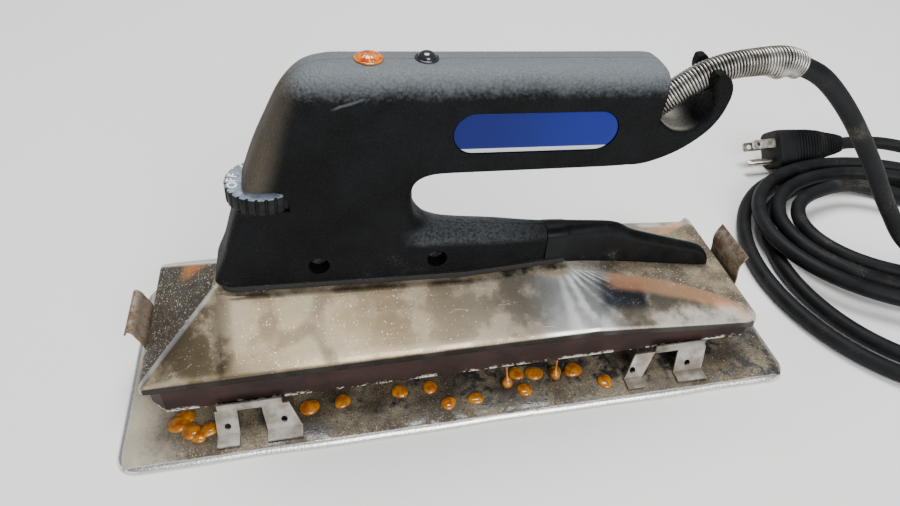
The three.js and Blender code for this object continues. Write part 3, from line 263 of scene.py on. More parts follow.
def tray_finish():
    """Tinned sheet gone grey, under brown dust and pale grit. It is bare along the roll and
    whitish at the nose end."""
    tin = Finish("tray_tin_dusty")
    x = tin.axis("X")
    broad = tin.noise(26, 5, 0.62)
    patch = tin.noise(9, 5, 0.7)
    fine = tin.noise(2.2, 4, 0.7)
    specks = tin.noise(0.8, 2, 0.6)
    rim = tin.fade(abs(tin.axis("Y")), 55.5, 59) | tin.fade(abs(x), 158.5, 162)
    bare = tin.fade(rim + 0.5 * broad - 0.25 * fine, 0.75, 1.05)
    clean = tin.where((patch + 0.4 * broad, 0.66, 0.8), (x, -120, -95))
    tin.feed("Base Color", tin.layers(
        tin.mix(tin.fade(broad, 0.36, 0.62), "4a4030", "857a64"),
        (tin.fade(fine, 0.42, 0.3), "2f2820"),
        (tin.fade(specks, 0.56, 0.66), "38302a"),
        (0.8 * tin.fade(specks, 0.38, 0.3), "c9c0ac"),
        (0.6 * tin.fade(x + 30 * fine, -112, -142), "c4bba9"),
        (0.75 * clean, "5f6062"),
        (bare, "e2e1de"),
    ))
    tin.feed("Metallic", (0.2 + 0.6 * clean) | (0.95 * bare))
    tin.feed("Roughness", 0.62 - 0.34 * (bare | clean) + 0.2 * (fine - 0.5))
    tin.relief(0.6 * fine + 0.4 * specks, 0.22)
    return tin


fit(skin("tray_pan", tray_grid()), "tray", "tray_tin", tray_finish(), "tray_plate")

# Side brackets
# Four pressed brackets hold the base plate clear of the tray. Each has a rail beside the base,
# a ledge under it and two legs spot-welded to the tray, and is dull with bright cut edges.

bracket_edge = 0.22


def softened(name, node, width, angle=28, segments=2):
    """The solid's own faces as a new piece: its corners are merged, its flat faces joined,
    and every edge that turns more than the angle is rounded by a bevel."""
    work = bmesh.new()
    work.from_mesh(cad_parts[node].data)
    bmesh.ops.remove_doubles(work, verts=work.verts, dist=2e-6)
    bmesh.ops.dissolve_limit(
        work, angle_limit=math.radians(1), use_dissolve_boundaries=False,
        verts=work.verts, edges=work.edges,
    )
    mesh = bpy.data.meshes.new(name)
    work.to_mesh(mesh)
    work.free()
    if "custom_normal" in mesh.attributes:
        mesh.attributes.remove(mesh.attributes["custom_normal"])
    piece = placed(name, smoothed(mesh, angle))
    bevel = piece.modifiers.new("edge", "BEVEL")
    bevel.width = width * MM
    bevel.segments = segments
    bevel.limit_method = "ANGLE"
    bevel.angle_limit = math.radians(angle)
    bevel.harden_normals = True
    return piece


def bracket_finish():
    """Dull rolled steel, softly stained, with darker spots of rust."""
    steel = Finish("bracket_steel_dull")
    stain = steel.noise(9, 4, 0.6)
    fine = steel.noise(0.9, 3, 0.6)
    rust = steel.fade(steel.noise(3, 4, 0.7), 0.62, 0.7)
    grey = steel.mix(steel.fade(stain, 0.35, 0.65), "857c6f", "b4b0a9")
    steel.feed("Base Color", steel.mix(0.7 * rust, grey, "5d4d3b"))
    steel.feed("Metallic", 0.85 - 0.5 * rust)
    steel.feed("Roughness", 0.38 + 0.15 * stain + 0.2 * rust)
    steel.relief(fine, 0.05)
    return steel


bracket_steel = bracket_finish()
for place in ("nose_near", "nose_far", "heel_near", "heel_far"):
    bracket = softened("side_bracket_" + place, "bracket_" + place, bracket_edge)
    fit(bracket, "tray", "dull_steel", bracket_steel, "bracket_" + place)

# End clips
# A strip of sheet is bent up at each end of the tray to stop the iron sliding out. The tops
# are curled away from the cover, and heat and damp have turned both strips rusty.

clip_half = 14
clip_sheet = 0.9
nose_clip_line = [
    [-159.2, 4.75], [-153, 4.75], [-150.4, 4.85], [-149.3, 6.2], [-149.2, 12], [-149.2, 33.25],
    [-150.8, 38], [-152.4, 42.25], [-154.3, 43.38], [-155.4, 41.5],
]
heel_clip_line = [
    [161.3, 4.75], [155, 4.75], [152.4, 4.85], [151.4, 6.2], [151.1, 12], [149.9, 30],
    [149.1, 38.5], [151.7, 45.25],
]


def travel(line):
    """How far along a line each of its points lies."""
    return np.concatenate([[0], np.cumsum(np.linalg.norm(np.diff(line, axis=0), axis=1))])


def picked(line, places):
    """The points of a line that lie so far along it."""
    return np.stack([np.interp(places, travel(line), part) for part in line.T], -1)


def smooth_line(points, count):
    """A curve through the points, resampled to equal steps. Between two points it is a cubic
    whose end slopes come from their neighbours, weighed by the root of the distances."""
    points = np.asarray(points, float)
    held = np.concatenate([[2 * points[0] - points[1]], points, [2 * points[-1] - points[-2]]])
    p0, p1, p2, p3 = held[:-3], held[1:-2], held[2:-1], held[3:]
    gaps = np.sqrt(np.linalg.norm(np.diff(held, axis=0), axis=1))[:, None]
    d0, d1, d2 = gaps[:-2], gaps[1:-1], gaps[2:]
    s1 = ((p1 - p0) / d0 - (p2 - p0) / (d0 + d1) + (p2 - p1) / d1) * d1
    s2 = ((p2 - p1) / d1 - (p3 - p1) / (d1 + d2) + (p3 - p2) / d2) * d1
    u = np.linspace(0, 1, 33)[None, :-1, None]
    a, b, c, d = (part[:, None] for part in (p1, p2, s1, s2))
    fine = a + c * u + (3 * (b - a) - 2 * c - d) * u**2 + (2 * (a - b) + c + d) * u**3
    fine = np.concatenate([fine.reshape(-1, points.shape[1]), points[-1:]])
    return picked(fine, np.linspace(0, travel(fine)[-1], count))


def unit(vectors):
    """Each vector brought to a length of one."""
    return vectors / np.linalg.norm(vectors, axis=-1, keepdims=True)


def clip_grid(line):
    """A strip bent along a line in x and z: each row is the line shifted by half the sheet to
    either side, with its long edges rounded by a thin oval section."""
    line = smooth_line(line, 60)
    along = unit(np.gradient(line, axis=0))
    section = rounded_ring(clip_half, clip_sheet / 2, clip_sheet * 0.45, arc=3, run=6)
    x = line[:, :1] - along[:, 1:] * section[:, 1]
    z = line[:, 1:] + along[:, :1] * section[:, 1]
    return np.stack([x, section[:, 0] + 0 * x, z], -1)


def clip_finish():
    """Sheet steel under a skin of brown rust, with some grey metal left."""
    rust = Finish("clip_steel_rusty")
    blotch = rust.noise(5, 6, 0.7)
    fine = rust.noise(0.8, 3, 0.7)
    clean = rust.fade(blotch, 0.42, 0.6)
    brown = rust.mix(rust.fade(fine, 0.35, 0.65), "4a3a2c", "83694f")
    rust.feed("Base Color", rust.mix(clean, brown, "a39a8c"))
    rust.feed("Metallic", 0.2 + 0.6 * clean)
    rust.feed("Roughness", 0.78 - 0.3 * clean)
    rust.relief(fine, 0.12)
    return rust


clip_steel = clip_finish()
for end, line in (("nose", nose_clip_line), ("heel", heel_clip_line)):
    fit(skin(end + "_clip", clip_grid(line)), "tray", "rusty_steel", clip_steel, "clip_" + end)

# Base plate and heating element
# The heated sole is an iron casting with grooves under it and a baked brown coating. Its
# lower edge carries carpet lint and runs of adhesive. The sheathed element lies in its channel.

base_edge = 0.9


def base_finish():
    """Dark reddish coating, dull where it is scorched, with clumps of white lint on its lower
    edge."""
    coat = Finish("base_coating", Specular_IOR_Level=0.3)
    z = coat.axis("Z")
    broad = coat.noise(18, 5, 0.6)
    fine = coat.noise(1.1, 4, 0.7)
    clump = coat.noise(7, 3, 0.7)
    fibre = coat.noise(0.9, 5, 0.8, coat.spot((0.5, 1, 1.4)))
    brown = coat.mix(coat.fade(broad, 0.35, 0.65), "20130f", "33211c")
    low = coat.fade(z, 19.5, 16.1)
    lint = coat.fade(fibre + 1.2 * (clump - 0.5) + 0.2 * low, 0.7, 0.76) * low
    scuff = coat.fade(fine * broad, 0.37, 0.45)
    brown = coat.mix(0.4 * scuff, brown, "6f5d51")
    coat.feed("Base Color", coat.mix(lint, brown, "cfc9bd"))
    coat.feed("Roughness", 0.42 + 0.3 * broad)
    coat.relief(0.7 * fine + 0.5 * lint, 0.12)
    return coat


base = softened("coated_base", "base_plate", base_edge, angle=25, segments=3)
fit(base, "iron", "coated_iron", base_finish(), "base_plate")
dress(bracket_steel, "heating_element")

# Cover
# A hipped roof pressed from stainless sheet and polished. It has a flat ridge for the handle, a sloped
# nose face, a long ramp to the heel and rounded hips. It is filmed with tan dust, stained orange on the
# nose face and scratched along its length. Painted highlights, painted reflections and painted shade on
# the skirt lie in its colour.

base_top = 30.7
lip_gap = 0.3
taper_start = 63
taper_fall = 8.4 / 84
cover_end = 148
cover_half = 41.25
cover_skirt = 4
cover_shoulder = 3
cover_hip = 1.8
cover_wall = 1.2
ridge_start = -113
ridge_apex = 53
ridge_height = 53.5
ridge_fall = 0.06
heel_top = 30.2
# Half the flat's width: at the ridge's start, behind it, at the apex and where the flare ends.
flat_start = 9
flat_half = 16
flat_apex = 10.7
flare_half = cover_half - cover_shoulder / 2
flat_rounding = 8
ease_start = 2
flare_reach = 92
hip_slope = (flare_half - flat_start) / (ridge_start + cover_end)


def lip_line(x):
    """The lower rim is level, then falls evenly from the taper's start."""
    return base_top + lip_gap - np.maximum(0, x - taper_start) * taper_fall


def roof_line(x):
    """The roof's top: a straight rise over the nose, the tilted ridge, a straight ramp down."""
    bends = [-cover_end, ridge_start, ridge_apex, cover_end]
    ridge = [ridge_height - ridge_fall * bend for bend in bends[1:3]]
    return np.interp(x, bends, [lip_line(-cover_end) + cover_skirt, *ridge, heel_top])


def smooth_step(start, end, at):
    """0 before the start, 1 after the end, and a smooth step between them."""
    share = np.clip((at - start) / (end - start), 0, 1)
    return share**2 * (3 - 2 * share)


def roof_half(x):
    """Half the flat's width: wide at the nose lip, narrow at the ridge's start, rounding out
    behind it, easing in to the apex, then flaring to the sides as a quarter ellipse."""
    nose = np.minimum(flare_half, flat_start + hip_slope * (ridge_start - x))
    bow = 1 - np.clip((x - ridge_start) / flat_rounding, 0, 1)
    rounding = flat_start + (flat_half - flat_start) * np.sqrt(1 - bow**2)
    ridge = flat_half + (flat_apex - flat_half) * smooth_step(ease_start, ridge_apex, x)
    reach = np.clip((x - ridge_apex) / flare_reach, 0, 1)
    flare = flare_half + (flat_apex - flare_half) * np.sqrt(1 - reach**2)
    return np.select([x < ridge_start, x < ease_start, x < ridge_apex], [nose, rounding, ridge], flare)


def bent_corner(before, corner, after, radius, steps):
    """A bend between two straight lines: a quadratic curve that starts and ends at a radius
    from the corner, or halfway along a shorter line."""
    ends = []
    for other in (before, after):
        length = np.linalg.norm(other - corner, axis=-1, keepdims=True)
        ends.append(corner + (other - corner) * np.minimum(radius / np.maximum(length, 1e-6), 0.5))
    t = np.linspace(0, 1, steps + 1)[None, :, None]
    a, b, c = ends[0][:, None], corner[:, None], ends[1][:, None]
    return a * (1 - t) ** 2 + 2 * b * t * (1 - t) + c * t**2


def between(one, other, shares):
    """Points on the straight from one to the other, at shares of the way."""
    return one[:, None] + (other - one)[:, None] * shares[:, None]


def cover_grid():
    """One row a station along x: up the skirt, over the shoulder, up the side face, over the
    hip and across the roof, then mirrored. The end rows drop to the lip as the end walls."""
    ends = cover_end - cover_shoulder * (1 - np.cos(np.linspace(0, np.pi / 2, 7)))
    x = np.concatenate([
        -ends, np.linspace(-144, ridge_start, 14), np.linspace(ridge_start, ridge_start + 9, 10),
        np.linspace(ridge_start + 12, ease_start, 30), np.linspace(4, ridge_apex, 18),
        np.linspace(ridge_apex + 1, 143, 40), ends[::-1], [taper_start],
    ])
    x = np.unique(np.round(x, 3))
    tuck = np.clip((np.abs(x) - (cover_end - cover_shoulder)) / cover_shoulder, 0, 1)
    tuck = cover_shoulder * (1 - np.sqrt(1 - tuck**2)) / 2
    half = cover_half - tuck
    lip = lip_line(x)
    shoulder = lip + cover_skirt
    top = np.maximum(roof_line(x), shoulder) - tuck
    ridge = np.minimum(roof_half(x), half - cover_shoulder / 2)
    foot = np.stack([half, lip], -1)
    knee = np.stack([half, shoulder - tuck], -1)
    edge = np.stack([ridge, top], -1)
    middle = np.stack([np.zeros_like(x), top], -1)
    skirt = between(foot, knee, 0.3 * np.linspace(0, 1, 7)[:-1])
    low = bent_corner(foot, knee, edge, cover_shoulder, 6)
    high = bent_corner(knee, edge, middle, cover_hip, 6)
    face = between(low[:, -1], high[:, 0], np.linspace(0, 1, 12)[1:-1])
    flat = between(high[:, -1], middle, np.linspace(0, 1, 7)[1:])
    side = np.concatenate([skirt, low, face, high, flat], 1)
    whole = np.concatenate([side, side[:, -2::-1] * [-1, 1]], 1)
    grid = np.dstack([np.broadcast_to(x[:, None], whole.shape[:2]), whole])
    walls = grid[[0, -1]]
    walls[..., 2] = lip[[0, -1], None]
    return np.concatenate([walls[:1], grid, walls[1:]])


def cover_finish():
    """Polished steel under a thin tan film with soft edges, thick with grime on the nose face and beside
    the handle. A painted orange reflection lies in a band along the heel's hip, with a painted dark
    reflection beside it. Painted highlights lie by the apex and on the nose hips, the skirt is painted
    dark as shade, and hair scratches and crumbs lie over it all."""
    steel = Finish("cover_polished_steel")
    x = steel.axis("X")
    y = steel.axis("Y")
    beside = abs(y)
    broad = steel.noise(34, 4, 0.55)
    patch = steel.noise(15, 4, 0.6)
    fine = steel.noise(1.7, 4, 0.7)
    specks = steel.noise(0.9, 2, 0.6)
    brushed = steel.noise(1.4, 3, 0.6, steel.spot((0.05, 1, 1)))
    bend = abs(steel.noise(9, 2, 0.4, steel.spot((0.4, 1, 1))) - 0.5)
    hair = steel.where((bend, 0.004, 0.001), (steel.noise(20, 2), 0.52, 0.6))
    # The nose face and its rounded hips, the flat, and the ramp inside the flare.
    past_hip = beside + hip_slope * (x - ridge_start) - flat_start
    nose = steel.where((x, -111, -114.5), (past_hip, 0.5, -1))
    hip = steel.where((abs(past_hip), 2.4, 0.6), (x, -108, -113))
    flat_top = steel.where((beside, 15.8, 13.2), (x, 60, 50))
    run = ((x - ridge_apex) * (1 / flare_reach)) | 0.0
    past_flare = beside - flare_half + (flare_half - flat_apex) * ((1 - run * run) | 0.0) ** 0.5
    ramp = steel.where((x, 52, 58), (past_flare, 2, 0.8))
    grime = nose | (0.85 * flat_top * steel.fade(patch + broad, 0.8, 1.05)) | (0.8 * ramp)
    grime = grime * (1 - 0.85 * hip)
    # The painted orange reflection along the heel's hip, the painted dark reflection and the pale scale
    # outside the flare.
    orange_reflection = steel.where((past_flare, 0.8, 2), (past_flare + 3 * patch, 13, 9), (x + 6 * patch, 72, 82))
    dark = steel.where(
        (past_flare, 4, 7), (x, 64, 72), (x + 5 * fine, 96, 92), (beside + 4 * patch, 35, 30),
    )
    pale = steel.where((x, 60, 80), (beside + 6 * patch, 33, 38), (patch + broad, 0.7, 1.1)) * 0.7
    # Lighter metal by the apex, partly clean metal and partly painted highlight, with a fan of painted
    # highlight rays, and two thin films elsewhere.
    clear = steel.where((x + 10 * broad, 30, 54), (x, 80, 66)) * (1 - flat_top)
    rays = (17 * ((x - 46) / (beside - 4)) + 9 * broad).sine()
    fan = clear * steel.where((x + 8 * broad, 46, 60), (0.14 * rays + patch, 0.3, 0.75))
    film = steel.fade(patch + 0.7 * broad, 0.78, 0.98) * (1 - 0.8 * clear)
    second = steel.fade(steel.noise(40, 3, 0.5), 0.54, 0.6) * (1 - clear)
    metal = steel.layers(
        steel.mix(steel.fade(broad, 0.3, 0.7), "786a53", "988b72"),
        (0.5 * steel.fade(x, -40, 30), "b3ab9d"),
        # Painted highlight, partly clean metal: pale metal by the apex and on the nose hips.
        (clear | hip, "d6d8d6"),
        # Painted highlight: the fan of bright rays below the apex.
        (0.9 * fan, "f4f6f5"),
        (0.4 * film, "b3a68d"),
        (0.45 * second, "6d5847"),
        # Painted dark reflection beside the orange band.
        (0.85 * dark, "2f3b4b"),
        # Painted orange reflection along the heel's hip.
        ((0.55 + 0.4 * patch) * orange_reflection, "c08b63"),
    )
    dirt = steel.layers(
        steel.mix(steel.fade(patch, 0.38, 0.62), "4f4536", "8f8268"),
        (nose * (0.76 + 0.2 * steel.fade(patch + fine, 0.9, 1.1)), "2b2620"),
        (0.85 * nose * steel.where((y, 8, 18), (steel.axis("Z"), 44, 50)), "b4702f"),
        (steel.fade(specks, 0.6, 0.68), "c8bda6"),
        (pale, "d9d6cf"),
    )
    # Painted shade: the skirt is painted dark, like the shaded tray that it faces.
    skirt = steel.fade(beside, 40.75, 41.1) | steel.fade(abs(x), 147.5, 147.9)
    steel.feed("Base Color", steel.layers(
        metal,
        (grime | (0.8 * pale), dirt),
        (0.9 * steel.fade(specks, 0.665, 0.69), "ded8ca"),
        (skirt, "2e2a27"),
    ))
    covered = grime | pale
    metallic = 1 - 0.85 * covered - 0.35 * film * (1 - grime) - 0.6 * fan - 0.55 * orange_reflection
    steel.feed("Metallic", metallic)
    steel.feed("Roughness", 0.24 + 0.3 * covered + 0.14 * film + 0.1 * second + 0.1 * broad)
    steel.relief(0.35 * brushed + 0.6 * hair + 0.8 * grime * fine + 0.25 * film, 0.03)
    return steel


cover = skin("hipped_cover", cover_grid(), closed=False, capped=False, sharp=60)
wall = cover.modifiers.new("sheet", "SOLIDIFY")
wall.thickness = cover_wall * MM
wall.offset = -1
fit(cover, "iron", "polished_steel", cover_finish(), "cover")

# Gasket
# A die-cut rubber gasket lies between the handle's foot and the hot cover. Its edge is dusty
# and specked with tan grit.


def gasket_finish():
    """Matt black rubber with a few pale grains stuck to it."""
    rubber = Finish("gasket_rubber_dusty", Roughness=0.75)
    grit = rubber.noise(0.7, 3, 0.7)
    dusty = rubber.fade(grit + 0.2 * rubber.noise(9, 3), 0.74, 0.82)
    rubber.feed("Base Color", rubber.mix(dusty, "1b1a19", "8d8270"))
    rubber.relief(grit, 0.2)
    return rubber


dress(gasket_finish(), "foot_gasket")

# Handle shells
# Two moulded halves in black plastic meet on the middle plane and are screwed together. Foot,
# column and grip are one C with a leather grain, and a fork at the rear holds the spring.

tilt = math.atan(ridge_fall)
shell_gap = 0.15
# Each row crosses the handle from its outer line to its inner one, in the handle's tilted
# frame: along and up of both ends, half the width, then how far the rounding reaches
# sideways and inwards at the outer end and at the inner end.
shell_rows = [
    [42.2, 3.6, 42.2, 19.5, 7.25, 0.3, 0.3, 7, 6.5],
    [30.3, 3.6, 30.3, 20.3, 9.1, 0.3, 0.3, 8.9, 7.1],
    [18.4, 3.6, 18.4, 21.4, 10.9, 0.3, 0.3, 10.7, 7.8],
    [0, 3.6, 0, 22.9, 12.2, 0.3, 0.3, 12, 8.5],
    [-18, 3.6, -9.5, 24.4, 12.5, 0.3, 0.3, 12.2, 8.5],
    [-40, 3.6, -16.2, 27.2, 12.5, 0.3, 0.3, 11.5, 8.5],
    [-65, 3.6, -20.7, 31.4, 12.5, 0.3, 0.3, 9.5, 8],
    [-90, 3.6, -23.3, 36.2, 12.5, 0.5, 0.5, 7.5, 7],
    [-106, 3.6, -24.4, 40.5, 12.5, 2, 1.5, 6.5, 6],
    [-111.7, 5, -24.9, 43.8, 12.5, 5, 3.5, 6, 5.5],
    [-110.9, 8.8, -25.1, 46.2, 12.5, 6, 4.5, 5.5, 5],
    [-107.2, 17.6, -25.2, 48.3, 12.5, 7, 5.5, 5.5, 5],
    [-103.1, 31, -25, 50, 12.5, 8, 7, 5.5, 5],
    [-98.2, 45.7, -24.5, 51.6, 12.5, 9, 9, 5.5, 5],
    [-90.9, 66.3, -23.3, 53.6, 12.5, 11, 12, 5.5, 5],
    [-84.7, 80, -21.2, 55.4, 12.5, 12, 15, 5.5, 5],
    [-77.2, 94.2, -18, 56.7, 12.5, 12.3, 17, 5.5, 5],
    [-70, 101.7, -14.2, 57.4, 12.5, 12.3, 18, 5.5, 5],
    [-61.6, 104.6, -8.5, 57.6, 12.5, 12.3, 18, 5.5, 5],
    [-48, 105, 0, 57.6, 12.5, 12.3, 18, 5.5, 5],
    [-25, 105, 16, 57.6, 12.5, 12.3, 18, 5.5, 5],
    [5, 105, 33, 57.6, 12.5, 12.3, 18, 5.5, 5],
    [35, 105, 50, 57.6, 12.5, 12.3, 18, 5.5, 5],
    [66, 105, 66, 57.8, 12.5, 12.3, 18, 5.5, 5],
    [72.5, 104.9, 71.5, 58.2, 12.5, 12.3, 17.5, 5.5, 5],
    [76, 104.3, 75, 58.8, 12.5, 12.3, 16.5, 5.5, 5],
    [77.4, 103, 76.4, 59.2, 12.5, 12.3, 15, 5.5, 5],
]
# The fork's rows run from under the grip, round the scoop and up to the tips of the horns.
fork_rows = [
    [58, 59.2, 60, 87, 11, 5.5, 5, 3, 3],
    [70, 58.6, 72, 85.5, 11.9, 5.5, 5, 3, 3],
    [77, 59.4, 79, 82, 12.35, 5.5, 5, 3, 3],
    [85.2, 62, 82.8, 79, 12.2, 5, 4.5, 3.5, 3],
    [93, 66, 87.6, 76.6, 12, 4.5, 3.5, 4, 3],
    [99.8, 71.2, 94, 76.4, 11.8, 4, 3, 4, 2.6],
    [104.6, 76.8, 99, 79.4, 11.8, 3.4, 2.6, 3.6, 2.4],
    [107.6, 83, 101.4, 84.4, 11.8, 3, 2.4, 3.4, 2.2],
    [108.8, 88.8, 101.4, 89.6, 11.8, 2.8, 2.2, 3, 2.2],
    [109, 92.8, 100.4, 93, 11.8, 2.6, 2.2, 2.6, 2.4],
    [108.2, 96.6, 99, 96.2, 11.8, 2.6, 2.4, 2.6, 2.4],
    [106.2, 99.8, 98.4, 98.8, 11.8, 2.6, 2.4, 2.6, 2.4],
    [103.4, 101.6, 98.8, 101, 11.8, 2.6, 1.6, 2.6, 1.6],
]
crown_square = 0.56
shell_end = 2.4
fork_end = 1.2
dial_along = -87.7
dial_top = 51.8
# The slot's radius and height, up its wall and in under its upper lip.
dial_slot = np.array([[16.7, 43.4], [15.9, 52], [13.4, 53.5]])
screw_places = [-66.2, -12.5]
screw_height = 12.2
bore_radius = 4.7
bore_reach = [-16, -4.5]
label_along = 25
label_height = 78
label_length = 70.5
label_width = 18
label_play = 0.7
bed_reach = [-14, -11.6]
# The lead's line inside the grip and through the spring.
inner_route = [
    [-62, 36.7], [-62, 48], [-59, 62], [-49, 73], [-34, 76.5], [0, 76.5], [30, 75],
    [50, 73.5], [64, 73.8],
]
spring_route = [
    [75.9, 78.2], [84.3, 85], [91.4, 90.9], [98.4, 95.9], [106.2, 99.4], [113.3, 101.2], [121.4, 102.4],
    [129.6, 103.3], [135.4, 103.4], [141, 102.2], [144.6, 100.9],
]
channel_radius = 6.5
notch_half = 6.6
notch_top = 112
notch_floor = [*spring_route[1:5], [118, 102]]
grain_size = 1.7


def stand(along, y, height):
    """A point of the handle's frame, turned with the ridge and raised onto it."""
    along, y, height = np.broadcast_arrays(along, y, height)
    return np.stack([
        math.cos(tilt) * along + math.sin(tilt) * height, y,
        ridge_height - math.sin(tilt) * along + math.cos(tilt) * height,
    ], -1)


def turned(along, radius, height, count):
    """A profile turned about an upright of the handle: rings of a radius, each at a height."""
    turn = circle(count)
    return stand(along + radius * np.cos(turn), radius * np.sin(turn), height)


def middle_line(route, count):
    """A smooth line through places along and up the handle's middle plane."""
    along, height = smooth_line(route, count).T
    return stand(along, 0, height)


def half_shell(name, rows, side, steps, end_round):
    """Half of a bar whose section spans each row. From the middle plane it runs flat, round a
    squarish quarter oval, down the straight side, round a true quarter oval and flat to the
    middle plane again. The last row is repeated, smaller and further on, as a rounded end."""
    rows = smooth_line(rows, steps)
    span = rows[-1, 2:4] - rows[-1, 0:2]
    on = np.array([span[1], -span[0]]) / np.linalg.norm(span)
    on *= np.sign(on @ (rows[-1, 0:4] - rows[-2, 0:4]).reshape(2, 2).sum(0))
    swing = np.linspace(0, np.pi / 2, 8)[1:-1]
    ends = np.repeat(rows[-1:], len(swing), 0)
    ends[:, 0:4] += end_round * np.sin(swing)[:, None] * np.tile(on, 2)
    rows = np.concatenate([rows, ends])
    shrink = np.concatenate([np.zeros(steps), end_round * (1 - np.cos(swing))])[:, None]
    outer, inner = rows[:, None, 0:2], rows[:, None, 2:4]
    half, wide, deep, inner_wide, inner_deep = (rows[:, i:i + 1] for i in range(4, 9))
    length = np.linalg.norm(inner - outer, axis=-1)
    turn = np.linspace(0, np.pi / 2, 12)[None]
    flat = np.linspace(0, 1, 4)[None, :-1]
    face = np.linspace(0, 1, 16)[None, 1:-1]
    none = np.zeros_like(flat)
    y = np.concatenate([
        shell_gap + (half - wide - shell_gap) * flat,
        half - wide * (1 - np.sin(turn) ** crown_square),
        half + 0 * face,
        half - inner_wide * (1 - np.cos(turn)),
        shell_gap + (half - inner_wide - shell_gap) * flat[:, ::-1],
        shell_gap + 0 * half + 0 * face,
    ], 1)
    depth = np.concatenate([
        none + 0 * half,
        deep * (1 - np.cos(turn) ** crown_square),
        deep + (length - deep - inner_deep) * face,
        length - inner_deep * (1 - np.sin(turn)),
        length + none,
        length * (1 - face),
    ], 1)
    y = shell_gap + (y - shell_gap) * (1 - shrink / half)
    depth = length / 2 + (depth - length / 2) * (1 - 2 * shrink / length)
    place = outer + (inner - outer) * (depth / length)[..., None]
    return skin(name, stand(place[..., 0], side * y, place[..., 1]))


def circle(count):
    """Even steps of one turn, in radians."""
    return np.linspace(0, 2 * np.pi, count, endpoint=False)


def stadium(length, width, count=24):
    """A rectangle whose ends are half circles."""
    turn = np.linspace(-np.pi / 2, np.pi / 2, count)
    half = (length - width) / 2
    right = np.stack([half + width / 2 * np.cos(turn), width / 2 * np.sin(turn)], -1)
    return np.concatenate([right, -right])


def finished(piece):
    """A piece's mesh with its modifiers and its text worked out."""
    return bpy.data.meshes.new_from_object(piece.evaluated_get(bpy.context.evaluated_depsgraph_get()))


def carve(piece, cutters):
    """Cuts the cutters out of a piece and keeps the result as its mesh."""
    for cutter in cutters:
        cut = piece.modifiers.new("cut", "BOOLEAN")
        cut.operation = "DIFFERENCE"
        cut.solver = "EXACT"
        cut.object = cutter
    shape = finished(piece)
    piece.modifiers.clear()
    piece.data = shape
    smoothed(shape, 35)


def swept(line, across, up, count, radius):
    """A ring of points round each point of a line, in the plane of two unit vectors."""
    turn = circle(count)[:, None]
    return line[:, None] + radius * (across[:, None] * np.cos(turn) + up[:, None] * np.sin(turn))


def tube_grid(line, radius, sides):
    """A round section carried along a line: each ring stands square to the line, and its
    frame is levelled by the upright, so it never twists."""
    along = unit(np.gradient(line, axis=0))
    across = unit(np.cross(along, [0, 0, 1.0]))
    return swept(line, across, np.cross(across, along), sides, np.reshape(radius, (-1, 1, 1)))


def shell_cutters():
    """The dial's slot, the spring's channel and the open notch between the horns."""
    slot = turned(dial_along, dial_slot[:, :1], dial_slot[:, 1:], 96)
    channel = tube_grid(middle_line(inner_route[-3:] + spring_route, 80), channel_radius, 32)
    floor = np.array(notch_floor)[:, None]
    height = floor[..., 1] + (notch_top - floor[..., 1]) * [0, 0, 1, 1]
    notch = stand(floor[..., 0], notch_half * np.array([-1, 1, 1, -1]), height)
    return skin("cut_slot", slot), skin("cut_channel", channel), skin("cut_notch", notch)


def near_cutters():
    """Two screw bores and the nameplate's bed, sunk in the near side."""
    ring = bore_radius * np.stack([np.cos(circle(32)), np.sin(circle(32))], -1)
    bed = stadium(label_length + label_play, label_width + label_play)
    cuts = [(along, screw_height, ring, bore_reach) for along in screw_places]
    cuts.append((label_along, label_height, bed, bed_reach))
    return [
        skin(f"cut_near_{i}", stand(along + rim[:, 0], np.array(reach)[:, None], height + rim[:, 1]))
        for i, (along, height, rim, reach) in enumerate(cuts)
    ]


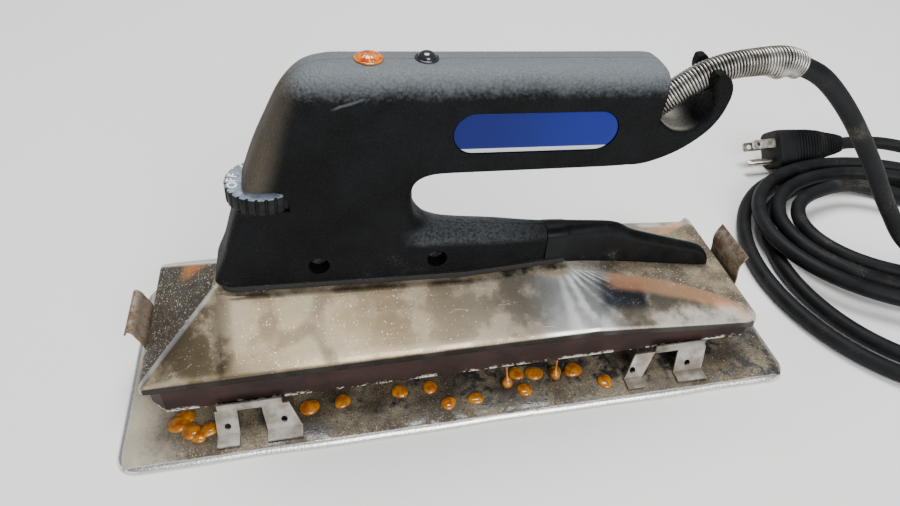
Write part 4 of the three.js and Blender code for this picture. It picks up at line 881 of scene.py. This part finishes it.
def grain_finish():
    """Black plastic with a leather grain: small cells with soft creases between them. The crown is pale
    and satin, partly from wear by hands and partly as a painted highlight. The foot's shoulder carries a
    painted highlight, and the fork's floor is painted pale as light falling on it, with some dust. The
    column's front is brown with grime, and fine dust lies in patches."""
    hide = Finish("handle_plastic_grained", Specular_IOR_Level=0.1)
    spot = hide.spot()
    drift = hide.node("TexNoise", {}, {"Vector": spot, "Scale": 0.45, "Detail": 2.0}, out="Color")
    warped = hide.node("VectorMath", {"operation": "ADD"}, {0: spot, 1: drift})
    cells = {"Vector": warped, "Scale": 1 / grain_size}
    crease = hide.fade(hide.node("TexVoronoi", {"feature": "DISTANCE_TO_EDGE"}, cells), 0.0, 0.3)
    lump = hide.noise(1.3, 2, 0.5)
    broad = hide.noise(22, 4, 0.6)
    x = hide.axis("X")
    y = hide.axis("Y")
    z = hide.axis("Z")
    level = z + ridge_fall * x
    # Painted highlight on the crown, partly wear: pale satin where the overhead light falls, with a
    # grained lower edge.
    crown = hide.where((level + 5 * broad + 7 * lump, 152.5, 163), (x, 89, 86))
    front = hide.where((0.936 * x - 0.352 * z + 5 * broad, -110, -120), (z, 100, 112))
    shoulder = z + 0.14 * x
    # Painted highlight along the foot's shoulder, speckled by the grain.
    foot = hide.where((shoulder, 71, 74), (shoulder, 82, 77.5), (x, -30, -14), (x, 60, 10))
    # Painted light on the fork's up-facing floor, with some dust: pale only on the low part of the
    # floor.
    scoop = hide.where((x, 80, 84), (abs(y), 10.8, 9), (z, 135, 128), (x, 104, 94))
    scratch = abs(z - 0.3 * x - 163.5 + 6 * (broad - 0.5))
    scuff = hide.where((scratch, 0.8, 0.3), (x, -54, -50), (x, -38, -42), (y, 0, -6))
    # Wear and painted highlight together: the crown and the foot's shoulder are painted highlight, and
    # the scuff is real wear.
    wear_and_highlight = crown | (0.42 * foot * hide.fade(lump, 0.1, 0.75)) | (0.45 * scuff)
    dust = hide.fade(hide.noise(0.9, 4, 0.8) * (broad + 0.08 * hide.fade(z, 84, 60)), 0.4, 0.5)
    hide.feed("Base Color", hide.layers(
        hide.mix(hide.fade(broad, 0.35, 0.65), "08090a", "101113"),
        (wear_and_highlight, "686d71"),
        (0.5 * front, "675f52"),
        (0.85 * scoop, "8b8880"),
        (0.5 * dust, "6b6559"),
    ))
    hide.feed("Roughness", 0.52 - 0.14 * wear_and_highlight + 0.1 * broad + 0.25 * dust)
    hide.relief(0.7 * crease + 0.5 * lump, 0.32)
    return hide


grained_plastic = grain_finish()
shared_cutters = shell_cutters()
side_cutters = near_cutters()
for side, half in ((-1, "near"), (1, "far")):
    shell = half_shell("handle_shell_" + half + "_moulding", shell_rows, side, 230, shell_end)
    fork = half_shell("handle_fork_" + half, fork_rows, side, 90, fork_end)
    carve(shell, [*shared_cutters[:2], *(side_cutters if side < 0 else [])])
    carve(fork, shared_cutters[1:])
    fit(shell, "iron", "grained_plastic", grained_plastic, "handle_shell_" + half)
    fit(fork, "iron", "grained_plastic", grained_plastic)
for cutter in [*shared_cutters, *side_cutters]:
    bpy.data.objects.remove(cutter)


def screw_finish():
    """Blackened steel, darkened further as painted shade in its bore, dusty in its slot."""
    steel = Finish("screw_steel_dark", Roughness=0.45)
    grime = steel.noise(1.2, 3, 0.6)
    steel.feed("Base Color", steel.mix(steel.fade(grime, 0.4, 0.7), "2a2927", "57534d"))
    steel.feed("Metallic", 0.85 - 0.3 * grime)
    return steel


dress(screw_finish(), "shell_screw_front", "shell_screw_rear")

# Tail guide
# A smooth fin continues the foot down the heel ramp. A tongue on its front end is held
# between the shells, and its top is rounded.

# Along, top and half width, in the handle's frame.
fin_rows = [
    [42.5, 19.4, 7.1], [50, 19.4, 6.7], [60, 19.2, 5.6], [70, 18.8, 4.8], [78, 18, 4.4],
    [83, 16.4, 4.2], [87.5, 13.8, 4.1], [92, 11.7, 4], [104.5, 7.6, 3.9], [118, 3.4, 3.8],
    [128, 0.3, 3.7], [132.5, -1.8, 3.6], [135.6, -4.6, 3.3], [137.5, -8, 2.8], [138.4, -11.2, 2],
]
fin_hem = 0.15
fin_knee = 0.72
# The fin's bottom lies on the gasket, then runs a little above the ramp.
gasket_top = 3.6
gasket_end = 53.6
ramp_start = 53
ramp_gap = 0.62
ramp_fall = 0.1487


def fin_grid():
    """Upright sides that draw in by a seventh from a wide hem, under half an oval. The bottom
    lies on the gasket first and then falls with the heel ramp."""
    along, top, half = np.split(smooth_line(fin_rows, 120), 3, axis=1)
    over_ramp = ramp_gap - ramp_fall * np.maximum(0, along - ramp_start)
    bottom = np.where(along < gasket_end, gasket_top, over_ramp)
    knee = bottom + (top - bottom) * fin_knee
    rise = np.linspace(0, 1, 7)[None, :-1]
    turn = np.linspace(0, np.pi / 2, 10)[None]
    y = np.concatenate([half * (1 + fin_hem * (1 - rise)), half * np.cos(turn)], 1)
    height = np.concatenate([bottom + (knee - bottom) * rise, knee + (top - knee) * np.sin(turn)], 1)
    y = np.concatenate([y, -y[:, -2::-1]], 1)
    height = np.concatenate([height, height[:, -2::-1]], 1)
    return stand(along, y, height)


def moulded_finish():
    """Smooth black moulding with faint scuffs and dust in the corners."""
    smooth = Finish("plastic_smooth_black", Specular_IOR_Level=0.14)
    haze = smooth.noise(7, 4, 0.6)
    dust = smooth.fade(smooth.noise(0.8, 4, 0.8) * smooth.noise(14, 3), 0.36, 0.46)
    black = smooth.mix(smooth.fade(haze, 0.3, 0.7), "0a0b0c", "121315")
    smooth.feed("Base Color", smooth.mix(0.4 * dust, black, "7b7466"))
    smooth.feed("Roughness", 0.26 + 0.2 * haze + 0.2 * dust)
    smooth.relief(haze, 0.04)
    return smooth


smooth_plastic = moulded_finish()
fit(skin("tail_fin", fin_grid()), "iron", "smooth_plastic", smooth_plastic, "tail_guide")
dress(smooth_plastic, "cord_clamp")

# Thermostat dial
# A serrated thumb wheel turns in a slot through the column, on the thermostat's brass shaft.
# White marks are printed round its worn, bluish top.

wheel_radius = 15.4
wheel_thickness = 7.9
wheel_teeth = 24
wheel_edge = 0.6
wheel_groove = 1.1
# How far in from the rim two rings lie on each flat side.
wheel_rings = [6, 1.8]
# The marks on the wheel's top, and how far round each stands, in degrees.
dial_marks = "OFF1234567"
mark_turns = [197, 180, 164, *range(130, -33, -27)]
mark_size = 5.4
mark_radius = 12.1
mark_height = 0.06
mark_spread = 0.1
mark_lift = 0.05


def wheel_grid():
    """A drum whose radius dips into narrow grooves between broad teeth. Its edges are drawn in
    by a small quarter circle at the top and the bottom."""
    count = wheel_teeth * 18
    groove = smooth_step(0, 1, 1.9 * (-0.35 - np.cos(wheel_teeth * circle(count))))
    edge = np.linspace(0, np.pi / 2, 5)
    low, high = wheel_edge * (1 - np.sin(edge)), wheel_edge * (1 - np.cos(edge))
    inset = np.concatenate([wheel_rings, low, high[1:], wheel_rings[::-1]])
    rise = np.concatenate([[0, 0], high, wheel_thickness - low[1:], 2 * [wheel_thickness]])
    deep = np.clip(wheel_rings[1] - inset, 0, 1)[:, None]
    radius = wheel_radius - inset[:, None] - wheel_groove * groove * deep
    return turned(dial_along, radius, dial_top - wheel_thickness + rise[:, None], count)


def dial_print():
    """The marks as thin raised shapes. Each is turned to its place, with its top outwards."""
    work = bmesh.new()
    frame_turn = Matrix.Translation((0, 0, ridge_height * MM)) @ Matrix.Rotation(tilt, 4, "Y")
    middle = Matrix.Translation((dial_along * MM, 0, (dial_top + mark_lift) * MM))
    out = Matrix.Translation((mark_radius * MM, 0, 0)) @ Matrix.Rotation(-math.pi / 2, 4, "Z")
    for mark, degrees in zip(dial_marks, mark_turns):
        line = bpy.data.curves.new("mark", "FONT")
        line.body = mark
        line.size = mark_size * MM
        line.extrude = mark_height * MM
        line.offset = mark_spread * MM
        line.align_x = "CENTER"
        line.align_y = "CENTER"
        holder = placed("mark", line)
        shape = finished(holder)
        shape.transform(frame_turn @ middle @ Matrix.Rotation(math.radians(degrees), 4, "Z") @ out)
        work.from_mesh(shape)
        bpy.data.meshes.remove(shape)
        bpy.data.objects.remove(holder)
        bpy.data.curves.remove(line)
    mesh = bpy.data.meshes.new("dial_print")
    work.to_mesh(mesh)
    work.free()
    return placed("dial_print", mesh)


def dial_finish():
    """Black ridges with a bluish worn top."""
    wheel = Finish("dial_plastic_worn", Specular_IOR_Level=0.2)
    top = wheel.fade(wheel.axis("Z") + 0.06 * wheel.axis("X"), 104.9, 105.2)
    worn = wheel.noise(2.5, 4, 0.6)
    black = wheel.mix(wheel.fade(worn, 0.4, 0.7), "0b0c0d", "1a1b1e")
    pale = wheel.mix(wheel.fade(worn, 0.35, 0.65), "66707e", "8d97a5")
    wheel.feed("Base Color", wheel.mix(top, black, pale))
    wheel.feed("Roughness", 0.42 + 0.2 * worn)
    return wheel


def mottled(name, one, other, size, detail, rough=0.5, fade=None, gloss=None, **constants):
    """A finish of two colours mixed by soft noise, as it is or sharpened by a fade. The gloss
    is the roughness and how much of the noise is added to it."""
    finish = Finish(name, **constants)
    noise = finish.noise(size, detail, rough)
    share = finish.fade(noise, *fade) if fade else noise
    finish.feed("Base Color", finish.mix(share, one, other))
    if gloss:
        finish.feed("Roughness", gloss[0] + gloss[1] * noise)
    return finish


def plain_metal(name, code):
    """Plain metal with faint drawing marks."""
    return mottled(name, code, "d8d8d6", 1.5, 3, 0.6, (0.3, 0.7), (0.3, 0.12), Metallic=1.0)


# White printing ink, a little worn.
ink = mottled("print_white", "b9bcc0", "f4f5f6", 0.8, 3, fade=(0.3, 0.5), Roughness=0.6)
wheel = skin("dial_thumb_wheel", wheel_grid(), sharp=50)
fit(wheel, "dial", "dial_plastic", dial_finish(), "dial_wheel")
fit(dial_print(), "dial", "dial_plastic", ink)
dress(plain_metal("shaft_brass", "b08f4c"), "dial_shaft")

# Works inside the handle
# Studs and nuts hold the handle down. The thermostat and the terminal block are unglazed
# ceramic, and red glass-sleeved leads join them to the element and to the lead's end.

inner_steel = plain_metal("stud_steel_bright", "a9aaab")
dress(inner_steel, "mounting_stud_front", "mounting_stud_rear", "stud_nut_front", "stud_nut_rear")
clay = mottled("ceramic_matt", "d8d0c0", "ece6da", 3, 4, Roughness=0.8)
dress(clay, "thermostat_body", "terminal_block")
sleeve = mottled("lead_sleeve_red", "6e1e18", "a83c2e", 0.6, 2, Roughness=0.85)
dress(sleeve, "heater_lead_near", "heater_lead_far", "thermostat_lead")

# Signal lens, lamp and top plug
# An amber lens is pressed into the crown over the neon lamp, and a glossy black plug closes
# the hole behind it. Both are domed buttons with a thin flange, and the lens is fluted.

crown_height = 105
flange_edge = 0.4
flute_depth = 0.035
signal_lens = {"along": -43.3, "radius": 5.8, "rim": 0.8, "dome": 2.6, "flutes": 14}
crown_plug = {"along": -20.8, "radius": 4.8, "rim": 0.7, "dome": 3, "flutes": 0}


def button_grid(along, radius, rim, dome, flutes):
    """A turned button: a flange with a round edge, a shallow groove and a dome that is a
    quarter oval, fluted by a cosine that fades out at its top."""
    edge = np.linspace(-np.pi / 2, np.pi / 2, 7)
    swell = np.linspace(0, np.pi / 2, 16)[:-1]
    flange = radius - flange_edge * (1 - np.cos(edge))
    r = np.concatenate([flange, [radius - 0.9], (radius - 1.1) * np.cos(swell)])
    domed = rim * 0.8 + (dome - rim * 0.8) * np.sin(swell)
    z = np.concatenate([rim / 2 * (1 + np.sin(edge)), [rim * 0.9], domed])
    depth = np.concatenate([np.zeros(8), flute_depth * np.sin(2 * swell)])[:, None]
    r = r[:, None] * (1 - depth * np.cos(flutes * circle(96)) * (flutes > 0))
    return turned(along, r, crown_height + z[:, None], 96)


# Clear amber plastic over a bright reflector, with darker amber in its depth.
amber = mottled(
    "lens_amber", "c94f06", "ff9a24", 2.2, 3, 0.6, (0.38, 0.62),
    Roughness=0.1, Transmission_Weight=0.25, IOR=1.49, Coat_Weight=1.0,
)
gloss = mottled("plug_plastic_gloss", "1b1d20", "26282c", 2, 2, Roughness=0.14, Coat_Weight=0.6)
glass = mottled("lamp_glass_clear", "f2cfa4", "ffe9cc", 4, 2, Roughness=0.05, Transmission_Weight=0.9)
lens = skin("signal_lens", button_grid(**signal_lens), sharp=50)
fit(lens, "iron", "amber", amber, "amber_lens")
plug = skin("crown_plug", button_grid(**crown_plug), sharp=50)
fit(plug, "iron", "smooth_plastic", gloss, "top_plug")
dress(glass, "neon_lamp")

# Nameplate
# A printed blue plate with round ends is stuck in its bed on the near side. It is left bare,
# with the silver border that shows along its lower edge.

plate_back = -11.7
plate_face = -12.2
plate_edge = 0.2


def plate_grid():
    """A stadium raised from its back to its face, whose edge is drawn in at the face."""
    rows = []
    edge = [(0, 1), (-0.3, 0.3), (-1, 0)]
    steps = [(grow * plate_edge, plate_face + rise * plate_edge) for grow, rise in edge]
    for grow, y in [(-1, plate_back), (0, plate_back), *steps, (-4, plate_face)]:
        ring = stadium(label_length + 2 * grow, label_width + 2 * grow)
        rows.append(stand(label_along + ring[:, 0], y, label_height + ring[:, 1]))
    return np.array(rows)


def label_finish():
    """Blue print, deeper at its left, with a silver border along its lower edge."""
    plate = Finish("nameplate_blue", Roughness=0.35, Specular_IOR_Level=0.2)
    x = plate.axis("X")
    border = plate.fade(plate.axis("Z") + ridge_fall * x, 124.8, 124.5)
    blue = plate.mix(plate.fade(x + 10 * plate.noise(16, 3), 10, 60), "04135c", "081d74")
    plate.feed("Base Color", plate.mix(border, blue, "c6cbd2"))
    plate.feed("Metallic", 0.85 * border)
    return plate


nameplate = skin("blue_nameplate", plate_grid(), sharp=50)
fit(nameplate, "iron", "label_blue", label_finish(), "nameplate")

# Strain relief spring
# One bright steel wire is close wound round the lead. It is held inside the grip, lies in
# the fork and bends with the lead, and its turns bulge a little under the last bend.

spring_radius = 5.35
spring_wire = 0.6
spring_pitch = 1.36
spring_start = 17
turn_steps = 22
# How far the last turns swell, as shares of the radius, and where along the spring.
end_swell = 0.12
bulge_swell = 0.38
bulge_place = 0.84
bulge_width = 0.06


def spring_grid():
    """A helix round the lead's line: every turn advances by the pitch, and the radius swells
    a little on the underside near the end. The round wire is carried along it."""
    line = middle_line(inner_route[-1:] + spring_route, 600)
    length = travel(line)[-1]
    last = length - spring_wire
    turns = round((last - spring_start) / spring_pitch)
    places = np.linspace(spring_start, last, turns * turn_steps + 1)
    centre = picked(line, places)
    level = np.array([0, 1.0, 0])
    up = np.cross(level, unit(np.gradient(centre, axis=0)))
    turn = np.arange(len(places)) * 2 * np.pi / turn_steps
    share = (places - spring_start) / (length - spring_start)
    bulge = bulge_swell * np.exp(-(((share - bulge_place) / bulge_width) ** 2))
    bulge += end_swell * np.clip((share - 0.6) / 0.2, 0, 1)
    swell = 1 + bulge * np.clip(np.cos(turn), 0, 1)
    out = (up * np.cos(turn)[:, None] + level * np.sin(turn)[:, None]) * swell[:, None]
    middle = centre + spring_radius * out
    on = unit(np.gradient(middle, axis=0))
    lift = unit(out - on * np.einsum("ij,ij->i", out, on)[:, None])
    return swept(middle, lift, np.cross(on, lift), 7, spring_wire)


# Bright drawn steel, dulled here and there by handling.
bright_steel = mottled(
    "spring_steel_bright", "7f7b75", "b7b4ae", 8, 3, 0.6, (0.35, 0.65), (0.3, 0.15), Metallic=1.0,
)
spring = skin("relief_spring", spring_grid(), sharp=80)
fit(spring, "iron", "bright_steel", bright_steel, "strain_relief_spring")

# Lead
# A black rubber lead, 8.8 mm thick, comes out of the spring, falls to the table and lies in
# an oval coil of two layers before it bends into the plug.

cord_radius = 4.4
# From the spring to the coil, and from the coil into the plug.
free_route = [
    [160.8, 0, 140.7], [169.6, 0, 134.5], [187.3, 0, 117.8], [211, -1, 90], [235, -3, 58.5],
    [254, -9, 36], [272, -20, 27.5], [292, -38, 25], [311, -60, 20.3], [325, -66, 15.8],
    [341, -64.5, 10.6], [355, -54.5, 6.6], [362, -38, 5.2], [363, -19, 4.9], [363, -6, 4.9],
]
bend_out = [
    [384, 40, 14.6], [381, 70, 14.8], [364, 98, 15], [341, 116, 15], [317.1, 121, 15], [308.3, 121, 15],
]
coil_turns = 4.97
# The layer on the table: its middle, its half sizes, and what each turn takes off them.
low_middle = np.array([272, 3])
low_half = np.array([91, 105])
low_step = 15
# The layer above: the same, with what each turn adds, where it starts and how it is turned.
high_middle = np.array([290, 31])
high_half = np.array([58, 42])
high_step = 12
high_start = 2.17
high_turn = -0.2
layer_height = 9.5
table_height = 4.9
# A fall below the lead's start, in millimetres, that the script works out and never uses.
blend_fall = 118


def coil_line(turn):
    """An oval that winds in turn by turn on the table, climbs by a layer at the innermost
    turn and, about another middle and a little turned, winds out again."""
    angle = 2 * np.pi * turn
    oval = np.stack([np.cos(angle), np.sin(angle)], -1)
    lower = low_middle + (low_half - low_step * turn[:, None]) * oval
    c, s = math.cos(high_turn), math.sin(high_turn)
    grown = np.maximum(turn - high_start, 0)[:, None] * high_step
    upper = high_middle + (high_half + grown) * oval @ np.array([[c, s], [-s, c]])
    plan = lower + (upper - lower) * smooth_step(2.14, 2.45, turn)[:, None]
    return np.column_stack([plan, table_height + layer_height * smooth_step(1.95, high_start, turn)])


def cord_finish():
    """Black rubber, handled and dusty, with a dull sheen."""
    rubber = Finish("lead_rubber", Specular_IOR_Level=0.16)
    haze = rubber.noise(14, 4, 0.6)
    dust = rubber.fade(rubber.noise(0.9, 4, 0.8) * rubber.noise(20, 4), 0.3, 0.44)
    black = rubber.mix(rubber.fade(haze, 0.3, 0.7), "0e0f10", "191a1c")
    rubber.feed("Base Color", rubber.mix(0.35 * dust, black, "6d675e"))
    rubber.feed("Roughness", 0.42 + 0.25 * haze)
    rubber.relief(haze, 0.05)
    return rubber


cord_rubber = cord_finish()
# The lead leaves the spring along its own direction, and is one smooth curve to the plug.
inner_line = middle_line(inner_route + spring_route, 400)
lead_out = unit(inner_line[-1] - inner_line[-3])
lead_start = inner_line[-1] + 0.3 * lead_out
lead_path = smooth_line(np.concatenate([
    [lead_start, lead_start + cord_radius * lead_out], free_route,
    coil_line(np.linspace(0, coil_turns, 121)), bend_out,
]), 760)
lead = skin("supply_lead", tube_grid(lead_path, cord_radius, 16))
lead.data.materials.append(cord_rubber.material)
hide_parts("cord_free", "cord_coil")
lead_exit = (lead_start * MM).tolist()
((lead_start - [0, 0, blend_fall]) * MM).tolist()
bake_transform(lead)
inner_lead = skin("inner_lead", tube_grid(inner_line, cord_radius, 32))
fit(inner_lead, "iron", "cord_rubber", cord_rubber, "inner_cord")

# Power plug
# A moulded black body with a square front and a ribbed neck, rolled over on the floor. It
# holds two flat plated blades with holes and a round earth pin.

power_plug_place = [253, 121, 15]
power_plug_roll = 0.855
# Along the body: half width, half height and how square the section is.
power_plug_rows = np.array([
    [0, 11.8, 10.8, 5], [0.4, 12.5, 11.5, 5], [1.2, 13, 12, 5], [4, 13, 12, 5], [9, 12.8, 11.8, 5],
    [12, 12.6, 11.6, 5], [24, 12, 11, 4], [33, 11, 10.2, 3.2], [42, 9, 8.8, 2.5], [50, 7.4, 7.4, 2.1],
    [54, 6.2, 6.2, 2], [55, 5.2, 5.2, 2],
])
rib_start = 12
rib_end = 52
rib_pitch = 2.35
rib_depth = 0.7
pin_edge = 0.18


def plug_grid():
    """Rings of a squarish oval: cosine and sine raised to a power, which falls from a box to a
    circle along the body. The ribs are a cosine squared off at both ends."""
    along, *sizes = power_plug_rows.T
    x = np.linspace(0, along[-1], 331)
    half, tall, square = (np.interp(x, along, size)[:, None] for size in sizes)
    groove = np.clip(0.5 - 1.6 * np.cos(2 * np.pi * (x - rib_start) / rib_pitch), 0, 1)
    groove = rib_depth * (groove * (x > rib_start) * (x < rib_end))[:, None]
    across, upright = np.cos(circle(64)), np.sin(circle(64))
    y = (half - groove) * np.sign(across) * np.abs(across) ** (2 / square)
    z = (tall - groove) * np.sign(upright) * np.abs(upright) ** (2 / square)
    c, s = math.cos(power_plug_roll), math.sin(power_plug_roll)
    return np.stack([x[:, None] + 0 * y, y * c - z * s, y * s + z * c], -1) + power_plug_place


fit(skin("power_plug", plug_grid(), sharp=45), "tray", "cord_rubber", cord_rubber, "plug_body")
# Nickel plate, slightly tarnished.
plate = mottled(
    "plug_blade_plated", "a39b8b", "d5d1c8", 4, 3, 0.6, (0.35, 0.65), (0.22, 0.2), Metallic=1.0,
)
for blade in ("blade_near", "blade_far", "earth_pin"):
    pin = softened("power_plug_" + blade, "plug_" + blade, pin_edge, angle=40)
    fit(pin, "tray", "bright_steel", plate, "plug_" + blade)

# Adhesive
# Amber hot-melt adhesive has dripped from the seam tape. Beads have set on the tray, and two
# drops still hang on threads from the base plate's edge.

bead_foot = 3.9
# Where each bead lies on the tray, and its radius.
beads = [
    [-11.7, -48.3, 3.7], [1.8, -47.7, 3.6], [26.8, -46.7, 3.8], [67.9, -48.4, 4], [54.3, -38.7, 4.6],
    [34.1, -37.5, 4.4], [25.1, -36, 4], [-62, -38.5, 4], [-77.7, -39.4, 4.6], [-34.1, -37.3, 4],
    [-19.2, -37.3, 3.8], [45, -38.1, 3.4], [-137.5, -38.8, 5], [-131.7, -43.7, 4.6],
    [-127.9, -47.1, 3.6], [-123.6, -44, 4.2], [-135.1, -35.3, 4.4],
]
# Each drop: where its thread starts, the drop's middle and its radius.
drops = [[[18.2, -40.9, 16.4], [18.9, -43.5, 6.8], 2.7], [[43.8, -40.9, 16.4], [43.5, -42.5, 6.9], 2.5]]


def bead_grid(x, y, radius, seed):
    """A flat dome: a quarter oval turned about the upright, whose outline wavers by two sines
    and whose foot is drawn in."""
    rise = np.linspace(0, np.pi / 2, 12)[:-1]
    turn = circle(40)
    waver = 1 + 0.06 * np.sin(2 * turn + seed) + 0.04 * np.sin(3 * turn + 2.3 * seed)
    r = radius * np.concatenate([[0.93], np.cos(rise) ** 0.8])[:, None] * waver
    z = bead_foot + np.concatenate([[0], 0.35 + 0.42 * radius * np.sin(rise)])[:, None] + 0 * r
    return np.stack([x + r * np.cos(turn), y + r * np.sin(turn), z], -1)


def drop_grid(start, middle, radius):
    """A tube from the thread's start to the drop's lowest point. Its radius is the thread's,
    swelling by a power into the drop, and then the sphere's."""
    start, middle = np.array(start), np.array(middle)
    foot = middle - [0, 0, radius]
    share = np.concatenate([np.linspace(0, 0.6, 14), np.linspace(0.61, 0.999, 40)])[:, None]
    line = start + (foot - start) * share
    off = (line[:, 2] - middle[2]) / radius
    ball = np.sqrt(np.clip(1 - off**2, 0, 1))
    thread = 0.16 + 0.5 * np.clip(1.9 - off, 0, 1) ** 2.5
    return tube_grid(line, radius * np.where(off > 0.5, np.maximum(thread, ball), ball) + 0.02, 24)


# Clear amber resin, cloudy inside and wet-looking.
adhesive = mottled(
    "adhesive_amber", "a85206", "cf8c1e", 3, 3, 0.6, (0.35, 0.65),
    Roughness=0.12, Transmission_Weight=0.15, IOR=1.5, Coat_Weight=0.8,
)
adhesive.relief(adhesive.noise(3, 3, 0.6), 0.12)
for i, bead in enumerate(beads):
    fit(skin(f"adhesive_bead_{i}", bead_grid(*bead, seed=i * 1.7)), "tray", "amber", adhesive)
for i, drop in enumerate(drops):
    fit(skin(f"adhesive_drop_{i}", drop_grid(*drop), sharp=80), "iron", "amber", adhesive)

# Floor, lights and camera
# A plain pale floor lies under soft studio light: a large lamp overhead, another in front and
# a faint sky. The camera stands at the photograph's angle.

floor = placed("floor", bpy.data.meshes.new("floor"))
floor.data.from_pydata([(-4, -4, 0), (4, -4, 0), (4, 4, 0), (-4, 4, 0)], [], [(0, 1, 2, 3)])
floor_paint = mottled("floor_pale", "f3f2f0", "f6f5f3", 60, 2, Roughness=0.75)
floor.data.materials.append(floor_paint.material)

world = bpy.data.worlds.new("studio")
world.use_nodes = True
sky = world.node_tree.nodes["Background"].inputs
sky["Color"].default_value = paint("eef0f4")
sky["Strength"].default_value = 0.3
bpy.context.scene.world = world


def soft_light(name, place, size, power):
    """A square lamp of a size in metres that faces the iron."""
    lamp = bpy.data.lights.new(name, "AREA")
    lamp.size = size
    lamp.energy = power
    light = placed(name, lamp)
    light.location = place
    light.rotation_euler = (Vector((0, 0, 0.05)) - Vector(place)).to_track_quat("-Z", "Y").to_euler()


soft_light("overhead", (0.1, 0.5, 1.6), 0.8, 34)
soft_light("front", (0.3, -1.5, 1.0), 1.1, 34)

photo_width = 900
focal_pixels = 690.2
sensor_width = 36
eye = Vector((-54.67, -246.88, 278.96)) * MM
forward = np.array([0.1537, 0.7362, -0.6591])
level = np.array([0.9789, -0.2043, 0])
upright = np.array([0.1347, 0.6452, 0.7520])
roll = math.radians(1.698)
right = level * math.cos(roll) + upright * math.sin(roll)
upward = upright * math.cos(roll) - level * math.sin(roll)
camera = placed("camera", bpy.data.cameras.new("camera"))
camera.data.sensor_width = sensor_width
camera.data.lens = sensor_width * focal_pixels / photo_width
facing = Matrix(np.stack([right, upward, -forward], -1).tolist()).to_4x4()
camera.matrix_world = Matrix.Translation(eye) @ facing
bpy.context.scene.camera = camera
